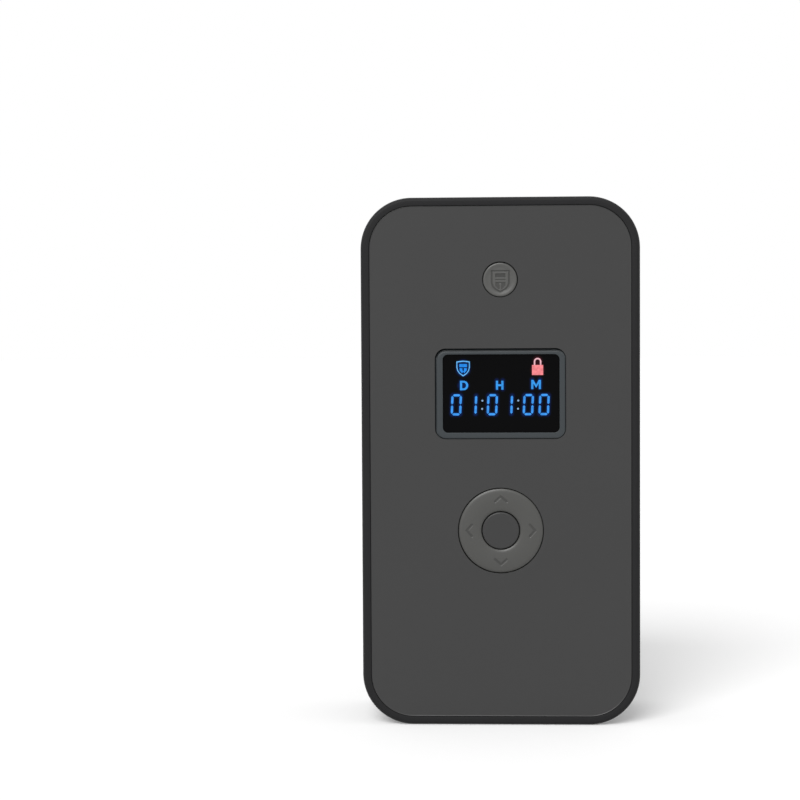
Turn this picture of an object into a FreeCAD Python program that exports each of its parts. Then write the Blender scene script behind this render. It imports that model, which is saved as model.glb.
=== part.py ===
import FreeCAD, Part

"""Timed lock container: a tub for a phone, closed by a lift-off lid that holds the clock and the boltwork.

The container stands upright on its bottom end. X runs to the right, Y runs from the face to the back and
Z runs up. Levels through the depth are given as a reach towards the face, so a level is minus its Y.
The parting line between lid and tub lies a little behind the middle plane.
"""
import math
import os
import re

import Sketcher
from FreeCAD import Rotation, Vector

SIZES = {
    # case
    "case_width": 100.0, "case_height": 190.0, "corner_radius": 18.3, "wall": 2.5,
    "rim_level": 22.7, "back_level": 22.5, "parting_level": 1.5, "parting_gap": 0.3,
    "rim_width": 3.1, "front_round": 1.8, "back_round": 3.2, "floor_thickness": 2.5,
    # face plate on the web of the lid
    "plate_thickness": 1.9, "plate_proud": 0.2, "plate_gap": 0.12, "plate_bevel": 0.2, "web_thickness": 2.0,
    # display
    "display_below_top": 70.4, "bezel_width": 46.7, "bezel_length": 32.3, "bezel_corner": 3.7,
    "glass_width": 41.8, "glass_length": 27.9, "glass_corner": 1.9, "bezel_proud": 0.4, "bezel_round": 1.0,
    "lens_thickness": 1.2, "lens_ledge": 0.6, "lens_play": 0.1, "module_width": 50.0, "module_length": 36.0,
    "module_corner": 1.2,
    # keys
    "key_gap": 0.3, "key_proud": 0.2, "key_round": 0.5, "cap_thickness": 0.9, "flange_width": 1.2,
    "flange_thickness": 0.8, "mode_below_top": 29.5, "mode_diameter": 12.2,
    "pad_below_top": 119.6, "pad_diameter": 30.2, "pad_bore": 14.0, "pad_gap": 0.35, "centre_diameter": 13.3,
    "pad_drop": 0.6, "centre_drop": 0.4, "mode_drop": 0.3,
    # rocking ring under the direction pad
    "pivot_drop": 2.7, "pin_diameter": 1.0, "pin_fit": 0.05, "carrier_bore": 16.4, "carrier_diameter": 19.2,
    "carrier_thickness": 1.2, "lug_gap": 0.3, "lug_thickness": 1.7, "lug_width": 3.2, "lug_wall": 0.9,
    # switches
    "switch_size": 4.5, "switch_length": 1.3, "switch_radius": 14.0, "plunger_diameter": 2.0,
    "plunger_fit": 0.2, "plunger_stand": 0.6, "plunger_length": 1.0, "plunger_well": 1.0,
    "stem_diameter": 3.0,
    "deck_thickness": 0.8, "deck_diameter": 37.0, "deck_play": 0.2,
    # board
    "board_gap": 5.0, "board_thickness": 1.6, "board_width": 72.0, "board_length": 136.0, "board_end": 6.0,
    "board_screw_inset": 4.0, "board_screw_rise": 5.0, "board_screw_drop": 44.0,
    "port_width": 8.94, "port_height": 3.26, "port_length": 7.3, "port_shell": 0.3, "port_inset": 0.3,
    "port_play": 0.15, "port_round": 1.6, "port_depth": 6.3, "tongue_width": 6.7, "tongue_thickness": 0.7,
    "controller_size": 10.0, "controller_x": 18.0, "controller_below_top": 18.0, "chip_thickness": 1.4,
    "driver_size": 5.0, "driver_x": 2.0, "driver_below_top": 54.0,
    "charger_size": 4.0, "charger_x": 14.0, "charger_below_top": 14.0,
    "connector_depth": 4.0, "connector_width": 6.4, "connector_height": 5.0, "connector_reach": 12.0,
    "buzzer_diameter": 12.0, "buzzer_thickness": 3.2, "buzzer_x": 24.0, "buzzer_below_top": 26.0,
    "sound_hole": 2.0,
    # screws
    "screw_diameter": 2.4, "screw_head": 4.6, "screw_head_height": 1.2, "screw_hole": 2.8, "screw_fit": 0.05,
    "small_screw": 1.9, "small_head": 3.6, "small_head_height": 1.1, "small_hole": 2.3,
    "boss_diameter": 6.0, "board_boss_diameter": 5.0, "boss_depth": 8.0,
    # cover of the lid
    "cover_thickness": 2.0, "cover_play": 0.15, "lip_depth": 2.8, "lip_thickness": 1.6, "lip_play": 0.3,
    "cover_screw_inset": 7.5, "cover_screw_end": 14.0,
    # hasps
    "hasp_boss": 2.5, "hasp_thickness": 1.5, "hasp_width": 15.0, "hasp_ligament": 1.6, "hasp_edge": 4.0,
    "hasp_screw_depth": 12.0, "hasp_screw_spread": 4.5, "hasp_play": 0.4, "window_play": 0.3,
    "hasp_round": 1.2, "pilot_floor": 1.5, "screw_end_gap": 0.5,
    # bolts and gears
    "bolt_level": 1.7, "bolt_thickness": 3.0, "bolt_head_width": 10.0,
    "bolt_clear": 0.8, "bolt_chamfer": 0.6, "arm_width": 4.3, "arm_end": 12.5,
    "dogleg_low": 58.0, "dogleg_high": 64.0,
    "rack_module": 0.75, "pinion_teeth": 16.0, "stub_addendum": 0.7, "stub_dedendum": 0.9,
    "rack_gaps": 7.0, "rack_backlash": 0.12,
    "worm_module": 0.8, "wheel_teeth": 28.0, "worm_diameter": 6.4, "worm_length": 12.0,
    "worm_backlash": 0.16, "wheel_gap": 0.3, "wheel_thickness": 3.0, "tooth_clearance": 0.2,
    "post_diameter": 3.0, "post_fit": 0.05, "clip_thickness": 0.5, "clip_diameter": 6.0, "clip_play": 0.1,
    "groove_diameter": 2.2, "clip_mouth": 1.8,
    "shaft_diameter": 2.0, "pressure_angle": 20.0,
    # boltwork base and drive
    "base_thickness": 1.5, "base_edge": 1.1, "base_margin": 4.95, "base_low": 23.0, "base_end": 6.0,
    "base_screw_inset": 3.0, "rib_gap": 0.3, "rib_thickness": 1.6, "rib_near": 8.5, "rib_far": 14.0,
    "bearing_gap": 3.0, "bearing_thickness": 3.0, "bearing_width": 6.0, "bearing_crown": 3.5,
    "motor_width": 12.0, "motor_thickness": 10.0, "motor_length": 15.0, "motor_gap": 3.0,
    "motor_corner": 3.0, "motor_cap": 0.8, "motor_bore": 3.0, "motor_boss_diameter": 4.0,
    "clamp_sheet": 0.6, "clamp_length": 6.0, "clamp_foot": 5.0, "clamp_play": 0.05,
    "position_width": 4.5, "position_length": 12.0,
    "guide_length": 6.0, "guide_setback": 9.7, "guide_play": 0.3, "guide_wall": 1.4, "guide_foot": 4.5,
    # battery, mat and feet
    "battery_margin": 4.0, "battery_gap": 0.5, "battery_height": 48.0, "battery_thickness": 6.0,
    "battery_rise": 9.0, "battery_corner": 1.2, "lead_diameter": 1.2, "lead_spread": 2.4,
    "mat_thickness": 1.5, "mat_margin": 1.0, "mat_end": 9.0,
    "foot_diameter": 10.0, "foot_thickness": 1.5, "foot_recess": 0.7, "foot_play": 0.15,
    "foot_inset": 15.0, "foot_end": 20.0, "foot_round": 0.4,
}

document = FreeCAD.newDocument("TimedLockContainer")
sheet = document.addObject("Spreadsheet::Sheet", "Sizes")
for row, (alias, size) in enumerate(SIZES.items(), start=1):
    sheet.set(f"A{row}", alias)
    sheet.set(f"B{row}", repr(size))
    sheet.setAlias(f"B{row}", alias)
document.recompute()

# levels and places that follow from the sizes
LID_BACK = "(-parting_level + parting_gap/2)"
TUB_FRONT = "(-parting_level - parting_gap/2)"
FLOOR = "(-back_level + floor_thickness)"
PLATE_FRONT = "(rim_level + plate_proud)"
PLATE_BACK = "(rim_level + plate_proud - plate_thickness)"
WEB_BACK = f"({PLATE_BACK} - web_thickness)"
BOARD_FRONT = f"({WEB_BACK} - board_gap)"
BOARD_BACK = f"({BOARD_FRONT} - board_thickness)"
KEY_FRONT = f"({PLATE_FRONT} + key_proud)"
CAP_BACK = f"({KEY_FRONT} - cap_thickness)"
SWITCH_TOP = f"({BOARD_FRONT} + switch_length)"
PLUNGER_TOP = f"({SWITCH_TOP} + plunger_stand)"
PIVOT = f"({WEB_BACK} - pivot_drop)"
BOLT_TOP = "(bolt_level + bolt_thickness)"
WHEEL_LOW = f"({BOLT_TOP} + wheel_gap)"
WHEEL_HIGH = f"({WHEEL_LOW} + wheel_thickness)"
WORM_LEVEL = f"({WHEEL_LOW} + wheel_thickness/2)"

HALF_WIDTH = "(case_width/2)"
MIDDLE = "(case_height/2)"
MODE_HEIGHT = "(case_height - mode_below_top)"
DISPLAY_HEIGHT = "(case_height - display_below_top)"
PAD_HEIGHT = "(case_height - pad_below_top)"
BOARD_HIGH = "(case_height - board_end)"
BOARD_LOW = f"({BOARD_HIGH} - board_length)"
HASP_NEAR = "(wall + hasp_boss)"
HASP_FAR = "(wall + hasp_boss + hasp_thickness)"
BOLT_TIP = f"({MIDDLE} - {HASP_FAR} - bolt_clear)"
GUIDE_FAR = f"({BOLT_TIP} - guide_setback)"
GUIDE_NEAR = f"({GUIDE_FAR} - guide_length)"
LUG_NEAR = "(carrier_diameter/2 + lug_gap)"
LUG_FAR = f"({LUG_NEAR} + lug_thickness)"

PINION_RADIUS = "(rack_module*pinion_teeth/2)"
RACK_BACK = f"({PINION_RADIUS} - stub_addendum + arm_width + rib_gap)"
WHEEL_RADIUS = "(worm_module*wheel_teeth/2)"
WORM_X = f"({WHEEL_RADIUS} + worm_diameter/2)"
BEARING_NEAR = "(worm_length/2 + bearing_gap)"
BEARING_FAR = f"({BEARING_NEAR} + bearing_thickness)"
MOTOR_START = f"({BEARING_FAR} + motor_gap)"
MOTOR_LOW = f"({MIDDLE} + {MOTOR_START})"
MOTOR_HIGH = f"({MOTOR_LOW} + motor_length)"
CLAMP_MIDDLE = f"({MOTOR_LOW} + motor_length/2)"
CLAMP_REACH = "(motor_width/2 + clamp_sheet + clamp_play + clamp_foot/2)"
GUIDE_HALF = "(bolt_head_width/2 + guide_play + guide_wall)"
BASE_LEFT = f"({RACK_BACK} + position_width + base_edge)"
BASE_RIGHT = f"({WORM_X} + {CLAMP_REACH} + clamp_foot/2 + base_margin)"
BASE_HIGH = f"({MOTOR_START} + motor_length + base_end)"
BATTERY_LOW = f"({MIDDLE} + battery_rise)"
BATTERY_HIGH = f"({BATTERY_LOW} + battery_height)"
BATTERY_LEFT = f"({HALF_WIDTH} - battery_margin)"
BATTERY_RIGHT = f"({BASE_LEFT} + battery_gap)"
BATTERY_X = f"(-({BATTERY_LEFT} + {BATTERY_RIGHT})/2)"

parts = []


def value(expression):
    """Number that an expression of sheet names gives."""
    return float(sheet.evalExpression(expression))


def bind(item, name, expression):
    """Tie a property to the sheet; a bare name in the expression is a cell of the sheet."""
    text = re.sub(r"[a-z][a-z_]*", lambda word: f"Sizes.{word[0]}" if word[0] in SIZES else word[0],
                  expression)
    item.setExpression(name, text)


def new_body(name, several=False, height=None):
    """Body for one sub-part; its own origin may stand at a height on the middle line."""
    body = document.addObject("PartDesign::Body", name)
    body.Label = name
    body.AllowCompound = several
    if height is not None:
        bind(body, "Placement.Base.z", height)
    parts.append(body)
    return body


def datum(body, role):
    """Plane or axis of a body's own origin."""
    return next(item for item in body.Origin.OriginFeatures if item.Role == role)


def new_sketch(body, name, role, offset, shapes):
    """Sketch on one of the body's origin planes, moved along its normal, with every shape drawn in it."""
    sketch = body.newObject("Sketcher::SketchObject", name)
    sketch.AttachmentSupport = [(datum(body, role), "")]
    sketch.MapMode = "FlatFace"
    bind(sketch, "AttachmentOffset.Base.z", offset)
    for draw in shapes:
        draw(sketch)
    return sketch


def pad(body, name, role, start, stop, *shapes):
    """Material between two levels along the plane's normal."""
    feature_sketch = new_sketch(body, name + "_sketch", role, start, shapes)
    feature = body.newObject("PartDesign::Pad", name)
    feature.Profile = feature_sketch
    bind(feature, "Length", f"{stop} - ({start})")
    return feature


def pocket(body, name, role, start, stop, *shapes):
    """Cut between two levels along the plane's normal."""
    feature_sketch = new_sketch(body, name + "_sketch", role, stop, shapes)
    feature = body.newObject("PartDesign::Pocket", name)
    feature.Profile = feature_sketch
    bind(feature, "Length", f"{stop} - ({start})")
    return feature


def revolve(body, name, *shapes):
    """Turned form about the body's own Y axis, drawn in the plane of Y and Z."""
    feature_sketch = new_sketch(body, name + "_sketch", "YZ_Plane", "0", shapes)
    feature = body.newObject("PartDesign::Revolution", name)
    feature.Profile = feature_sketch
    feature.ReferenceAxis = (datum(body, "Y_Axis"), [""])
    feature.Angle = 360
    return feature


def edges_where(body, test):
    """Names of the body's edges whose bounding box passes a test."""
    document.recompute()
    return [f"Edge{count}" for count, edge in enumerate(body.Tip.Shape.Edges, start=1)
            if test(edge.BoundBox)]


def at_level(level):
    """Test for edges that lie wholly at one level."""
    depth = -value(level)
    return lambda span: abs(span.YMin - depth) < 1e-3 and abs(span.YMax - depth) < 1e-3


def round_edges(body, name, radius, test, kind="Fillet"):
    """Fillet or chamfer on the edges that pass the test."""
    names = edges_where(body, test)
    base = body.Tip
    feature = body.newObject("PartDesign::" + kind, name)
    feature.Base = (base, names)
    bind(feature, "Radius" if kind == "Fillet" else "Size", radius)
    return feature


def box(left, right, low, high, radius=None):
    """Rectangle between four coordinates, with rounded corners if a radius is given."""
    def draw(sketch):
        x_low, x_high, y_low, y_high = (value(side) for side in (left, right, low, high))
        first = sketch.GeometryCount
        bend = value(radius) if radius else 0.0
        lines = [((x_low + bend, y_low), (x_high - bend, y_low)),
                 ((x_high, y_low + bend), (x_high, y_high - bend)),
                 ((x_high - bend, y_high), (x_low + bend, y_high)),
                 ((x_low, y_high - bend), (x_low, y_low + bend))]
        centres = [(x_high - bend, y_low + bend), (x_high - bend, y_high - bend),
                   (x_low + bend, y_high - bend), (x_low + bend, y_low + bend)]
        geometry = []
        for side, (line, centre) in enumerate(zip(lines, centres)):
            geometry.append(Part.LineSegment(Vector(*line[0], 0), Vector(*line[1], 0)))
            if radius:
                turn = Part.Circle(Vector(*centre, 0), Vector(0, 0, 1), bend)
                start = math.pi/2*(side - 1)
                geometry.append(Part.ArcOfCircle(turn, start, start + math.pi/2))
        sketch.addGeometry(geometry, False)
        count = len(geometry)
        step = count//4
        join = "Tangent" if radius else "Coincident"
        for item in range(count):
            sketch.addConstraint(Sketcher.Constraint(join, first + item, 2, first + (item + 1) % count, 1))
        for side, direction in enumerate(("Horizontal", "Vertical")*2):
            sketch.addConstraint(Sketcher.Constraint(direction, first + side*step))
        if radius:
            for side in (3, 5, 7):
                sketch.addConstraint(Sketcher.Constraint("Equal", first + 1, first + side))
            dimension(sketch, radius, "Radius", first + 1, bend)
        for side, (kind, place) in enumerate((("DistanceY", low), ("DistanceX", right),
                                              ("DistanceY", high), ("DistanceX", left))):
            dimension(sketch, place, kind, -1, 1, first + side*step, 1, value(place))
    return draw


def dimension(sketch, expression, *constraint):
    """Dimension in a sketch, bound to the sheet."""
    index = sketch.addConstraint(Sketcher.Constraint(*constraint))
    bind(sketch, f"Constraints[{index}]", expression)


def centred(width, height, x="0", y="0", radius=None):
    """Rectangle given by its size and centre."""
    return box(f"{x} - ({width})/2", f"{x} + ({width})/2",
               f"{y} - ({height})/2", f"{y} + ({height})/2", radius)


def case_outline(inset="0"):
    """The case's rounded outline, drawn in from the outside by an inset."""
    return box(f"-{HALF_WIDTH} + ({inset})", f"{HALF_WIDTH} - ({inset})",
               f"{inset}", f"case_height - ({inset})", f"corner_radius - ({inset})")


def disc(x, y, diameter):
    """Circle in a sketch."""
    def draw(sketch):
        circle = Part.Circle(Vector(value(x), value(y), 0), Vector(0, 0, 1), value(diameter)/2)
        index = sketch.addGeometry(circle, False)
        dimension(sketch, diameter, "Diameter", index, value(diameter))
        dimension(sketch, x, "DistanceX", -1, 1, index, 3, value(x))
        dimension(sketch, y, "DistanceY", -1, 1, index, 3, value(y))
    return draw


def polygon(*points):
    """Closed outline of straight lines through points, each coordinate bound to the sheet."""
    def draw(sketch):
        first = sketch.GeometryCount
        places = [Vector(value(x), value(y), 0) for x, y in points]
        count = len(places)
        sketch.addGeometry([Part.LineSegment(places[item], places[(item + 1) % count])
                            for item in range(count)], False)
        for item, (x, y) in enumerate(points):
            sketch.addConstraint(Sketcher.Constraint("Coincident", first + item, 2,
                                                     first + (item + 1) % count, 1))
            dimension(sketch, x, "DistanceX", -1, 1, first + item, 1, value(x))
            dimension(sketch, y, "DistanceY", -1, 1, first + item, 1, value(y))
    return draw


def screw_places(xs, ys):
    """Every pairing of some x and y places."""
    return [(x, y) for x in xs for y in ys]


COVER_SCREWS = screw_places((f"-({HALF_WIDTH} - cover_screw_inset)", f"({HALF_WIDTH} - cover_screw_inset)"),
                            ("cover_screw_end", MIDDLE, "(case_height - cover_screw_end)"))
BOARD_SCREWS = screw_places(("-(board_width/2 - board_screw_inset)", "(board_width/2 - board_screw_inset)"),
                            (f"({BOARD_LOW} + board_screw_rise)", f"({BOARD_HIGH} - board_screw_drop)"))
FEET = screw_places((f"-({HALF_WIDTH} - foot_inset)", f"({HALF_WIDTH} - foot_inset)"),
                    ("foot_end", "(case_height - foot_end)"))
BASE_SCREWS = screw_places((f"(-{BASE_LEFT} + base_screw_inset)", f"({BASE_RIGHT} - base_screw_inset)"),
                           (f"({MIDDLE} - base_low + base_screw_inset)",
                            f"({MIDDLE} + {BASE_HIGH} - base_screw_inset)"))
CLAMP_SCREWS = [(f"({WORM_X} {sign} {CLAMP_REACH})", CLAMP_MIDDLE) for sign in "-+"]
GUIDE_SCREWS = screw_places((f"-({GUIDE_HALF} + guide_foot/2)", f"({GUIDE_HALF} + guide_foot/2)"),
                            (f"({MIDDLE} - {GUIDE_FAR} + guide_length/2)",
                             f"({MIDDLE} + {GUIDE_FAR} - guide_length/2)"))
PAD_SWITCHES = [("0", "switch_radius"), ("0", "-switch_radius"),
                ("switch_radius", "0"), ("-switch_radius", "0")]
CONNECTORS = [(BATTERY_X, f"({BATTERY_HIGH} + connector_reach)"),
              (WORM_X, f"({MOTOR_HIGH} + connector_reach)")]


def container_shell():
    """Tub behind the parting line, with hasp bosses on both end walls and recesses for the feet."""
    body = new_body("container_shell")
    pad(body, "tub_block", "XZ_Plane", "-back_level", TUB_FRONT, case_outline())
    round_edges(body, "tub_back_round", "back_round", at_level("-back_level"))
    pocket(body, "tub_cavity", "XZ_Plane", FLOOR, TUB_FRONT, case_outline("wall"))
    boss = "(hasp_width/2 + hasp_play)"
    for name, low, high in (("lower", "wall/2", HASP_NEAR),
                            ("upper", f"case_height - {HASP_NEAR}", "case_height - wall/2")):
        pad(body, f"{name}_hasp_boss", "XZ_Plane", FLOOR, "(-hasp_screw_depth + screw_head)",
            box(f"-{boss}", boss, low, high))
    pilot = "(screw_diameter + 2*screw_fit)"
    pilots = [disc(f"{sign}hasp_screw_spread", "hasp_screw_depth", pilot) for sign in ("", "-")]
    pocket(body, "lower_pilots", "XY_Plane", "pilot_floor", HASP_NEAR, *pilots)
    pocket(body, "upper_pilots", "XY_Plane",
           f"(case_height - {HASP_NEAR})", "case_height - pilot_floor", *pilots)
    pocket(body, "foot_recesses", "XZ_Plane", "-back_level", "-back_level + foot_recess",
           *[disc(x, z, "foot_diameter + 2*foot_play") for x, z in FEET])


def cavity_mat():
    """Rubber mat on the floor of the tub."""
    body = new_body("cavity_mat")
    inset = "(wall + mat_margin)"
    pad(body, "mat", "XZ_Plane", FLOOR, f"({FLOOR} + mat_thickness)",
        box(f"-{HALF_WIDTH} + {inset}", f"{HALF_WIDTH} - {inset}", "mat_end", "case_height - mat_end",
            f"corner_radius - {inset}"))


def hasp(name, low, high):
    """Steel plate on an end wall; the bolt passes through the window near its free end."""
    body = new_body(name)
    half = "(hasp_width/2)"
    pad(body, f"{name}_plate", "XY_Plane", low, high,
        box(f"-{half}", half, f"-({BOLT_TOP} + window_play + hasp_ligament)",
            "(hasp_screw_depth + hasp_edge)", "hasp_round"),
        centred("(bolt_head_width + 2*window_play)", "(bolt_thickness + 2*window_play)",
                "0", "(-bolt_level - bolt_thickness/2)"),
        *[disc(f"{sign}hasp_screw_spread", "hasp_screw_depth", "screw_hole") for sign in ("", "-")])


def hasp_screws():
    """Two screws through the foot of each hasp into its boss."""
    body = new_body("hasp_screws", several=True)
    places = [f"{sign}hasp_screw_spread" for sign in ("", "-")]
    shanks = [disc(x, "hasp_screw_depth", "screw_diameter") for x in places]
    heads = [disc(x, "hasp_screw_depth", "screw_head") for x in places]
    tip = "(pilot_floor + screw_end_gap)"
    pad(body, "lower_shanks", "XY_Plane", tip, HASP_FAR, *shanks)
    pad(body, "lower_heads", "XY_Plane", HASP_FAR, f"({HASP_FAR} + screw_head_height)", *heads)
    pad(body, "upper_shanks", "XY_Plane", f"(case_height - {HASP_FAR})", f"(case_height - {tip})", *shanks)
    pad(body, "upper_heads", "XY_Plane", f"(case_height - {HASP_FAR} - screw_head_height)",
        f"(case_height - {HASP_FAR})", *heads)


def rubber_feet():
    """Four round feet pressed into the back."""
    body = new_body("rubber_feet", several=True)
    top = "(-back_level + foot_recess)"
    under = f"({top} - foot_thickness)"
    pad(body, "feet", "XZ_Plane", under, top, *[disc(x, z, "foot_diameter") for x, z in FEET])
    round_edges(body, "feet_round", "foot_round", at_level(under))


def lid_shell():
    """Front housing: rim, web behind the face plate, key and display openings, screw bosses, inlet slot."""
    body = new_body("lid_shell")
    pad(body, "lid_block", "XZ_Plane", LID_BACK, "rim_level", case_outline())
    round_edges(body, "lid_front_round", "front_round", at_level("rim_level"))
    pocket(body, "plate_recess", "XZ_Plane", PLATE_BACK, "rim_level", case_outline("rim_width"))
    pocket(body, "lid_inside", "XZ_Plane", LID_BACK, WEB_BACK, case_outline("wall"))
    pad(body, "cover_bosses", "XZ_Plane", "0", f"({WEB_BACK} + web_thickness/2)",
        *[disc(x, z, "boss_diameter") for x, z in COVER_SCREWS])
    pad(body, "board_bosses", "XZ_Plane", BOARD_FRONT, f"({WEB_BACK} + web_thickness/2)",
        *[disc(x, z, "board_boss_diameter") for x, z in BOARD_SCREWS])
    pocket(body, "cover_pilots", "XZ_Plane", "0", "boss_depth",
           *[disc(x, z, "(screw_diameter + 2*screw_fit)") for x, z in COVER_SCREWS])
    pocket(body, "board_pilots", "XZ_Plane", BOARD_FRONT, f"({WEB_BACK} - screw_fit)",
           *[disc(x, z, "(small_screw + 2*screw_fit)") for x, z in BOARD_SCREWS])
    pocket(body, "web_openings", "XZ_Plane", WEB_BACK, PLATE_BACK,
           centred("(glass_width - 2*lens_ledge)", "(glass_length - 2*lens_ledge)", "0", DISPLAY_HEIGHT,
                   "glass_corner"),
           disc("0", MODE_HEIGHT, "(mode_diameter + 2*key_gap)"),
           disc("0", PAD_HEIGHT, "(pad_diameter + 2*pad_gap)"))
    pocket(body, "port_slot", "XY_Plane", "(case_height - 1.5*wall)", "case_height",
           centred("(port_width + 2*port_play)", "(port_height + 2*port_play)",
                   "0", f"(-{BOARD_BACK} + port_height/2)", "(port_round + port_play)"))


def face_plate():
    """Satin plate glued on the web, with a bevelled border and openings for display and keys."""
    body = new_body("face_plate")
    pad(body, "plate", "XZ_Plane", PLATE_BACK, PLATE_FRONT, case_outline("(rim_width + plate_gap)"))
    round_edges(body, "plate_border", "plate_bevel", at_level(PLATE_FRONT), kind="Chamfer")
    pocket(body, "plate_openings", "XZ_Plane", PLATE_BACK, PLATE_FRONT,
           centred("(bezel_width + 2*plate_gap)", "(bezel_length + 2*plate_gap)", "0", DISPLAY_HEIGHT,
                   "(bezel_corner + plate_gap)"),
           disc("0", MODE_HEIGHT, "(mode_diameter + 2*key_gap)"),
           disc("0", PAD_HEIGHT, "(pad_diameter + 2*pad_gap)"))


def display_bezel():
    """Raised ring round the display, rebated behind for the lens."""
    body = new_body("display_bezel")
    top = f"({PLATE_FRONT} + bezel_proud)"
    pad(body, "bezel", "XZ_Plane", PLATE_BACK, top,
        centred("bezel_width", "bezel_length", "0", DISPLAY_HEIGHT, "bezel_corner"),
        centred("glass_width", "glass_length", "0", DISPLAY_HEIGHT, "glass_corner"))
    round_edges(body, "bezel_rounding", "bezel_round", at_level(top))
    pocket(body, "lens_rebate", "XZ_Plane", PLATE_BACK, f"({PLATE_BACK} + lens_thickness)",
           centred("(glass_width + 2*lens_ledge)", "(glass_length + 2*lens_ledge)", "0", DISPLAY_HEIGHT,
                   "(glass_corner + lens_ledge)"))


def display_window():
    """Lens that lies on the web inside the bezel's rebate."""
    body = new_body("display_window")
    pad(body, "lens", "XZ_Plane", PLATE_BACK, f"({PLATE_BACK} + lens_thickness)",
        centred("(glass_width + 2*lens_ledge - 2*lens_play)", "(glass_length + 2*lens_ledge - 2*lens_play)",
                "0", DISPLAY_HEIGHT, "(glass_corner + lens_ledge - lens_play)"))


def display_module():
    """Display cell on its holder, between the board and the web."""
    body = new_body("display_module")
    middle = f"({BOARD_FRONT} + {WEB_BACK})/2"
    pad(body, "holder", "XZ_Plane", BOARD_FRONT, middle,
        centred("module_width", "module_length", "0", DISPLAY_HEIGHT, "module_corner"))
    pad(body, "cell", "XZ_Plane", middle, WEB_BACK,
        centred("(module_width - 2*module_corner)", "(module_length - 2*module_corner)", "0", DISPLAY_HEIGHT))


def key_deck():
    """Plate on the board under the direction pad, with two saddles for the rocking ring."""
    body = new_body("key_deck", height=PAD_HEIGHT)
    pad(body, "deck", "XZ_Plane", BOARD_FRONT, f"({BOARD_FRONT} + deck_thickness)",
        disc("0", "0", "deck_diameter"))
    pad(body, "saddles", "XZ_Plane", f"({BOARD_FRONT} + deck_thickness/2)", f"({PIVOT} + lug_wall)",
        *[box(low, high, "-lug_width/2", "lug_width/2")
          for low, high in ((LUG_NEAR, LUG_FAR), (f"-{LUG_FAR}", f"-{LUG_NEAR}"))])
    pocket(body, "switch_holes", "XZ_Plane", BOARD_FRONT, f"({BOARD_FRONT} + deck_thickness)",
           *[centred("(switch_size + 2*deck_play)", "(switch_size + 2*deck_play)", x, z)
             for x, z in PAD_SWITCHES + [("0", "0")]])
    pocket(body, "saddle_holes", "YZ_Plane", f"-{LUG_FAR}", LUG_FAR,
           disc(f"-{PIVOT}", "0", "(pin_diameter + 2*pin_fit)"))


def main_board():
    """Printed circuit board screwed to the web's bosses."""
    body = new_body("main_board")
    pad(body, "board", "XZ_Plane", BOARD_BACK, BOARD_FRONT,
        box("-board_width/2", "board_width/2", BOARD_LOW, BOARD_HIGH, "board_screw_inset"),
        *[disc(x, z, "small_hole") for x, z in BOARD_SCREWS])


def screws(name, places, role, tip, seat, head_top, small=False, flip=False):
    """Group of like screws: shanks between tip and seat, heads beyond the seat."""
    body = new_body(name, several=True)
    shank, head = ("small_screw", "small_head") if small else ("screw_diameter", "screw_head")
    shanks = [disc(x, z, shank) for x, z in places]
    heads = [disc(x, z, head) for x, z in places]
    ordered = (seat, tip) if flip else (tip, seat)
    pad(body, f"{name}_shanks", role, *ordered, *shanks)
    ordered = (head_top, seat) if flip else (seat, head_top)
    pad(body, f"{name}_heads", role, *ordered, *heads)


def key_switches():
    """Six tact switch housings on the board, each with a well for its plunger."""
    body = new_body("key_switches", several=True)
    places = [("0", MODE_HEIGHT), ("0", PAD_HEIGHT)]
    places += [(x, f"({PAD_HEIGHT} + {z})") for x, z in PAD_SWITCHES]
    pad(body, "housings", "XZ_Plane", BOARD_FRONT, SWITCH_TOP,
        *[centred("switch_size", "switch_size", x, z) for x, z in places])
    pocket(body, "wells", "XZ_Plane", f"({SWITCH_TOP} - plunger_well)", SWITCH_TOP,
           *[disc(x, z, "(plunger_diameter + 2*plunger_fit)") for x, z in places])


def plungers(name, places, height):
    """Plungers that ride with a key and stand in the wells of its switches."""
    body = new_body(name, several=True, height=height)
    pad(body, f"{name}_posts", "XZ_Plane", f"({PLUNGER_TOP} - plunger_length)", PLUNGER_TOP,
        *[disc(x, z, "plunger_diameter") for x, z in places])


def turned_key(name, height, diameter, flange_front, front, bore=None):
    """Round key: flange behind the housing, body through the hole."""
    body = new_body(name, height=height)
    outer = f"({diameter}/2)"
    inner = f"({bore}/2)" if bore else "0"
    flange = f"({outer} + flange_width)"
    back = f"({flange_front} - flange_thickness)"
    revolve(body, f"{name}_form", polygon(
        (f"-{back}", inner), (f"-{back}", flange),
        (f"-{flange_front}", flange), (f"-{flange_front}", outer),
        (f"-{front}", outer), (f"-{front}", inner)))
    return body, back


def key_cap(name, height, diameter, *bore):
    """Cap glued on a key, softened round its front edges; its symbol is cut after moulding."""
    body = new_body(name, height=height)
    pad(body, f"{name}_form", "XZ_Plane", CAP_BACK, KEY_FRONT, disc("0", "0", diameter),
        *[disc("0", "0", hole) for hole in bore])
    round_edges(body, f"{name}_softening", "key_round", at_level(KEY_FRONT))


def mode_button():
    """Round key above the display, with its cap."""
    body, back = turned_key("mode_button", MODE_HEIGHT, "mode_diameter",
                            f"({WEB_BACK} - mode_drop)", CAP_BACK)
    pad(body, "mode_stem", "XZ_Plane", PLUNGER_TOP, back, disc("0", "0", "stem_diameter"))
    key_cap("mode_cap", MODE_HEIGHT, "mode_diameter")


def centre_button():
    """Round key inside the direction pad; its flange lies behind the pad."""
    pad_back = f"({WEB_BACK} - pad_drop - flange_thickness)"
    body, back = turned_key("centre_button", PAD_HEIGHT, "centre_diameter",
                            f"({pad_back} - centre_drop)", KEY_FRONT)
    round_edges(body, "centre_softening", "key_round", at_level(KEY_FRONT))
    pad(body, "centre_stem", "XZ_Plane", PLUNGER_TOP, back, disc("0", "0", "stem_diameter"))


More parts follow.
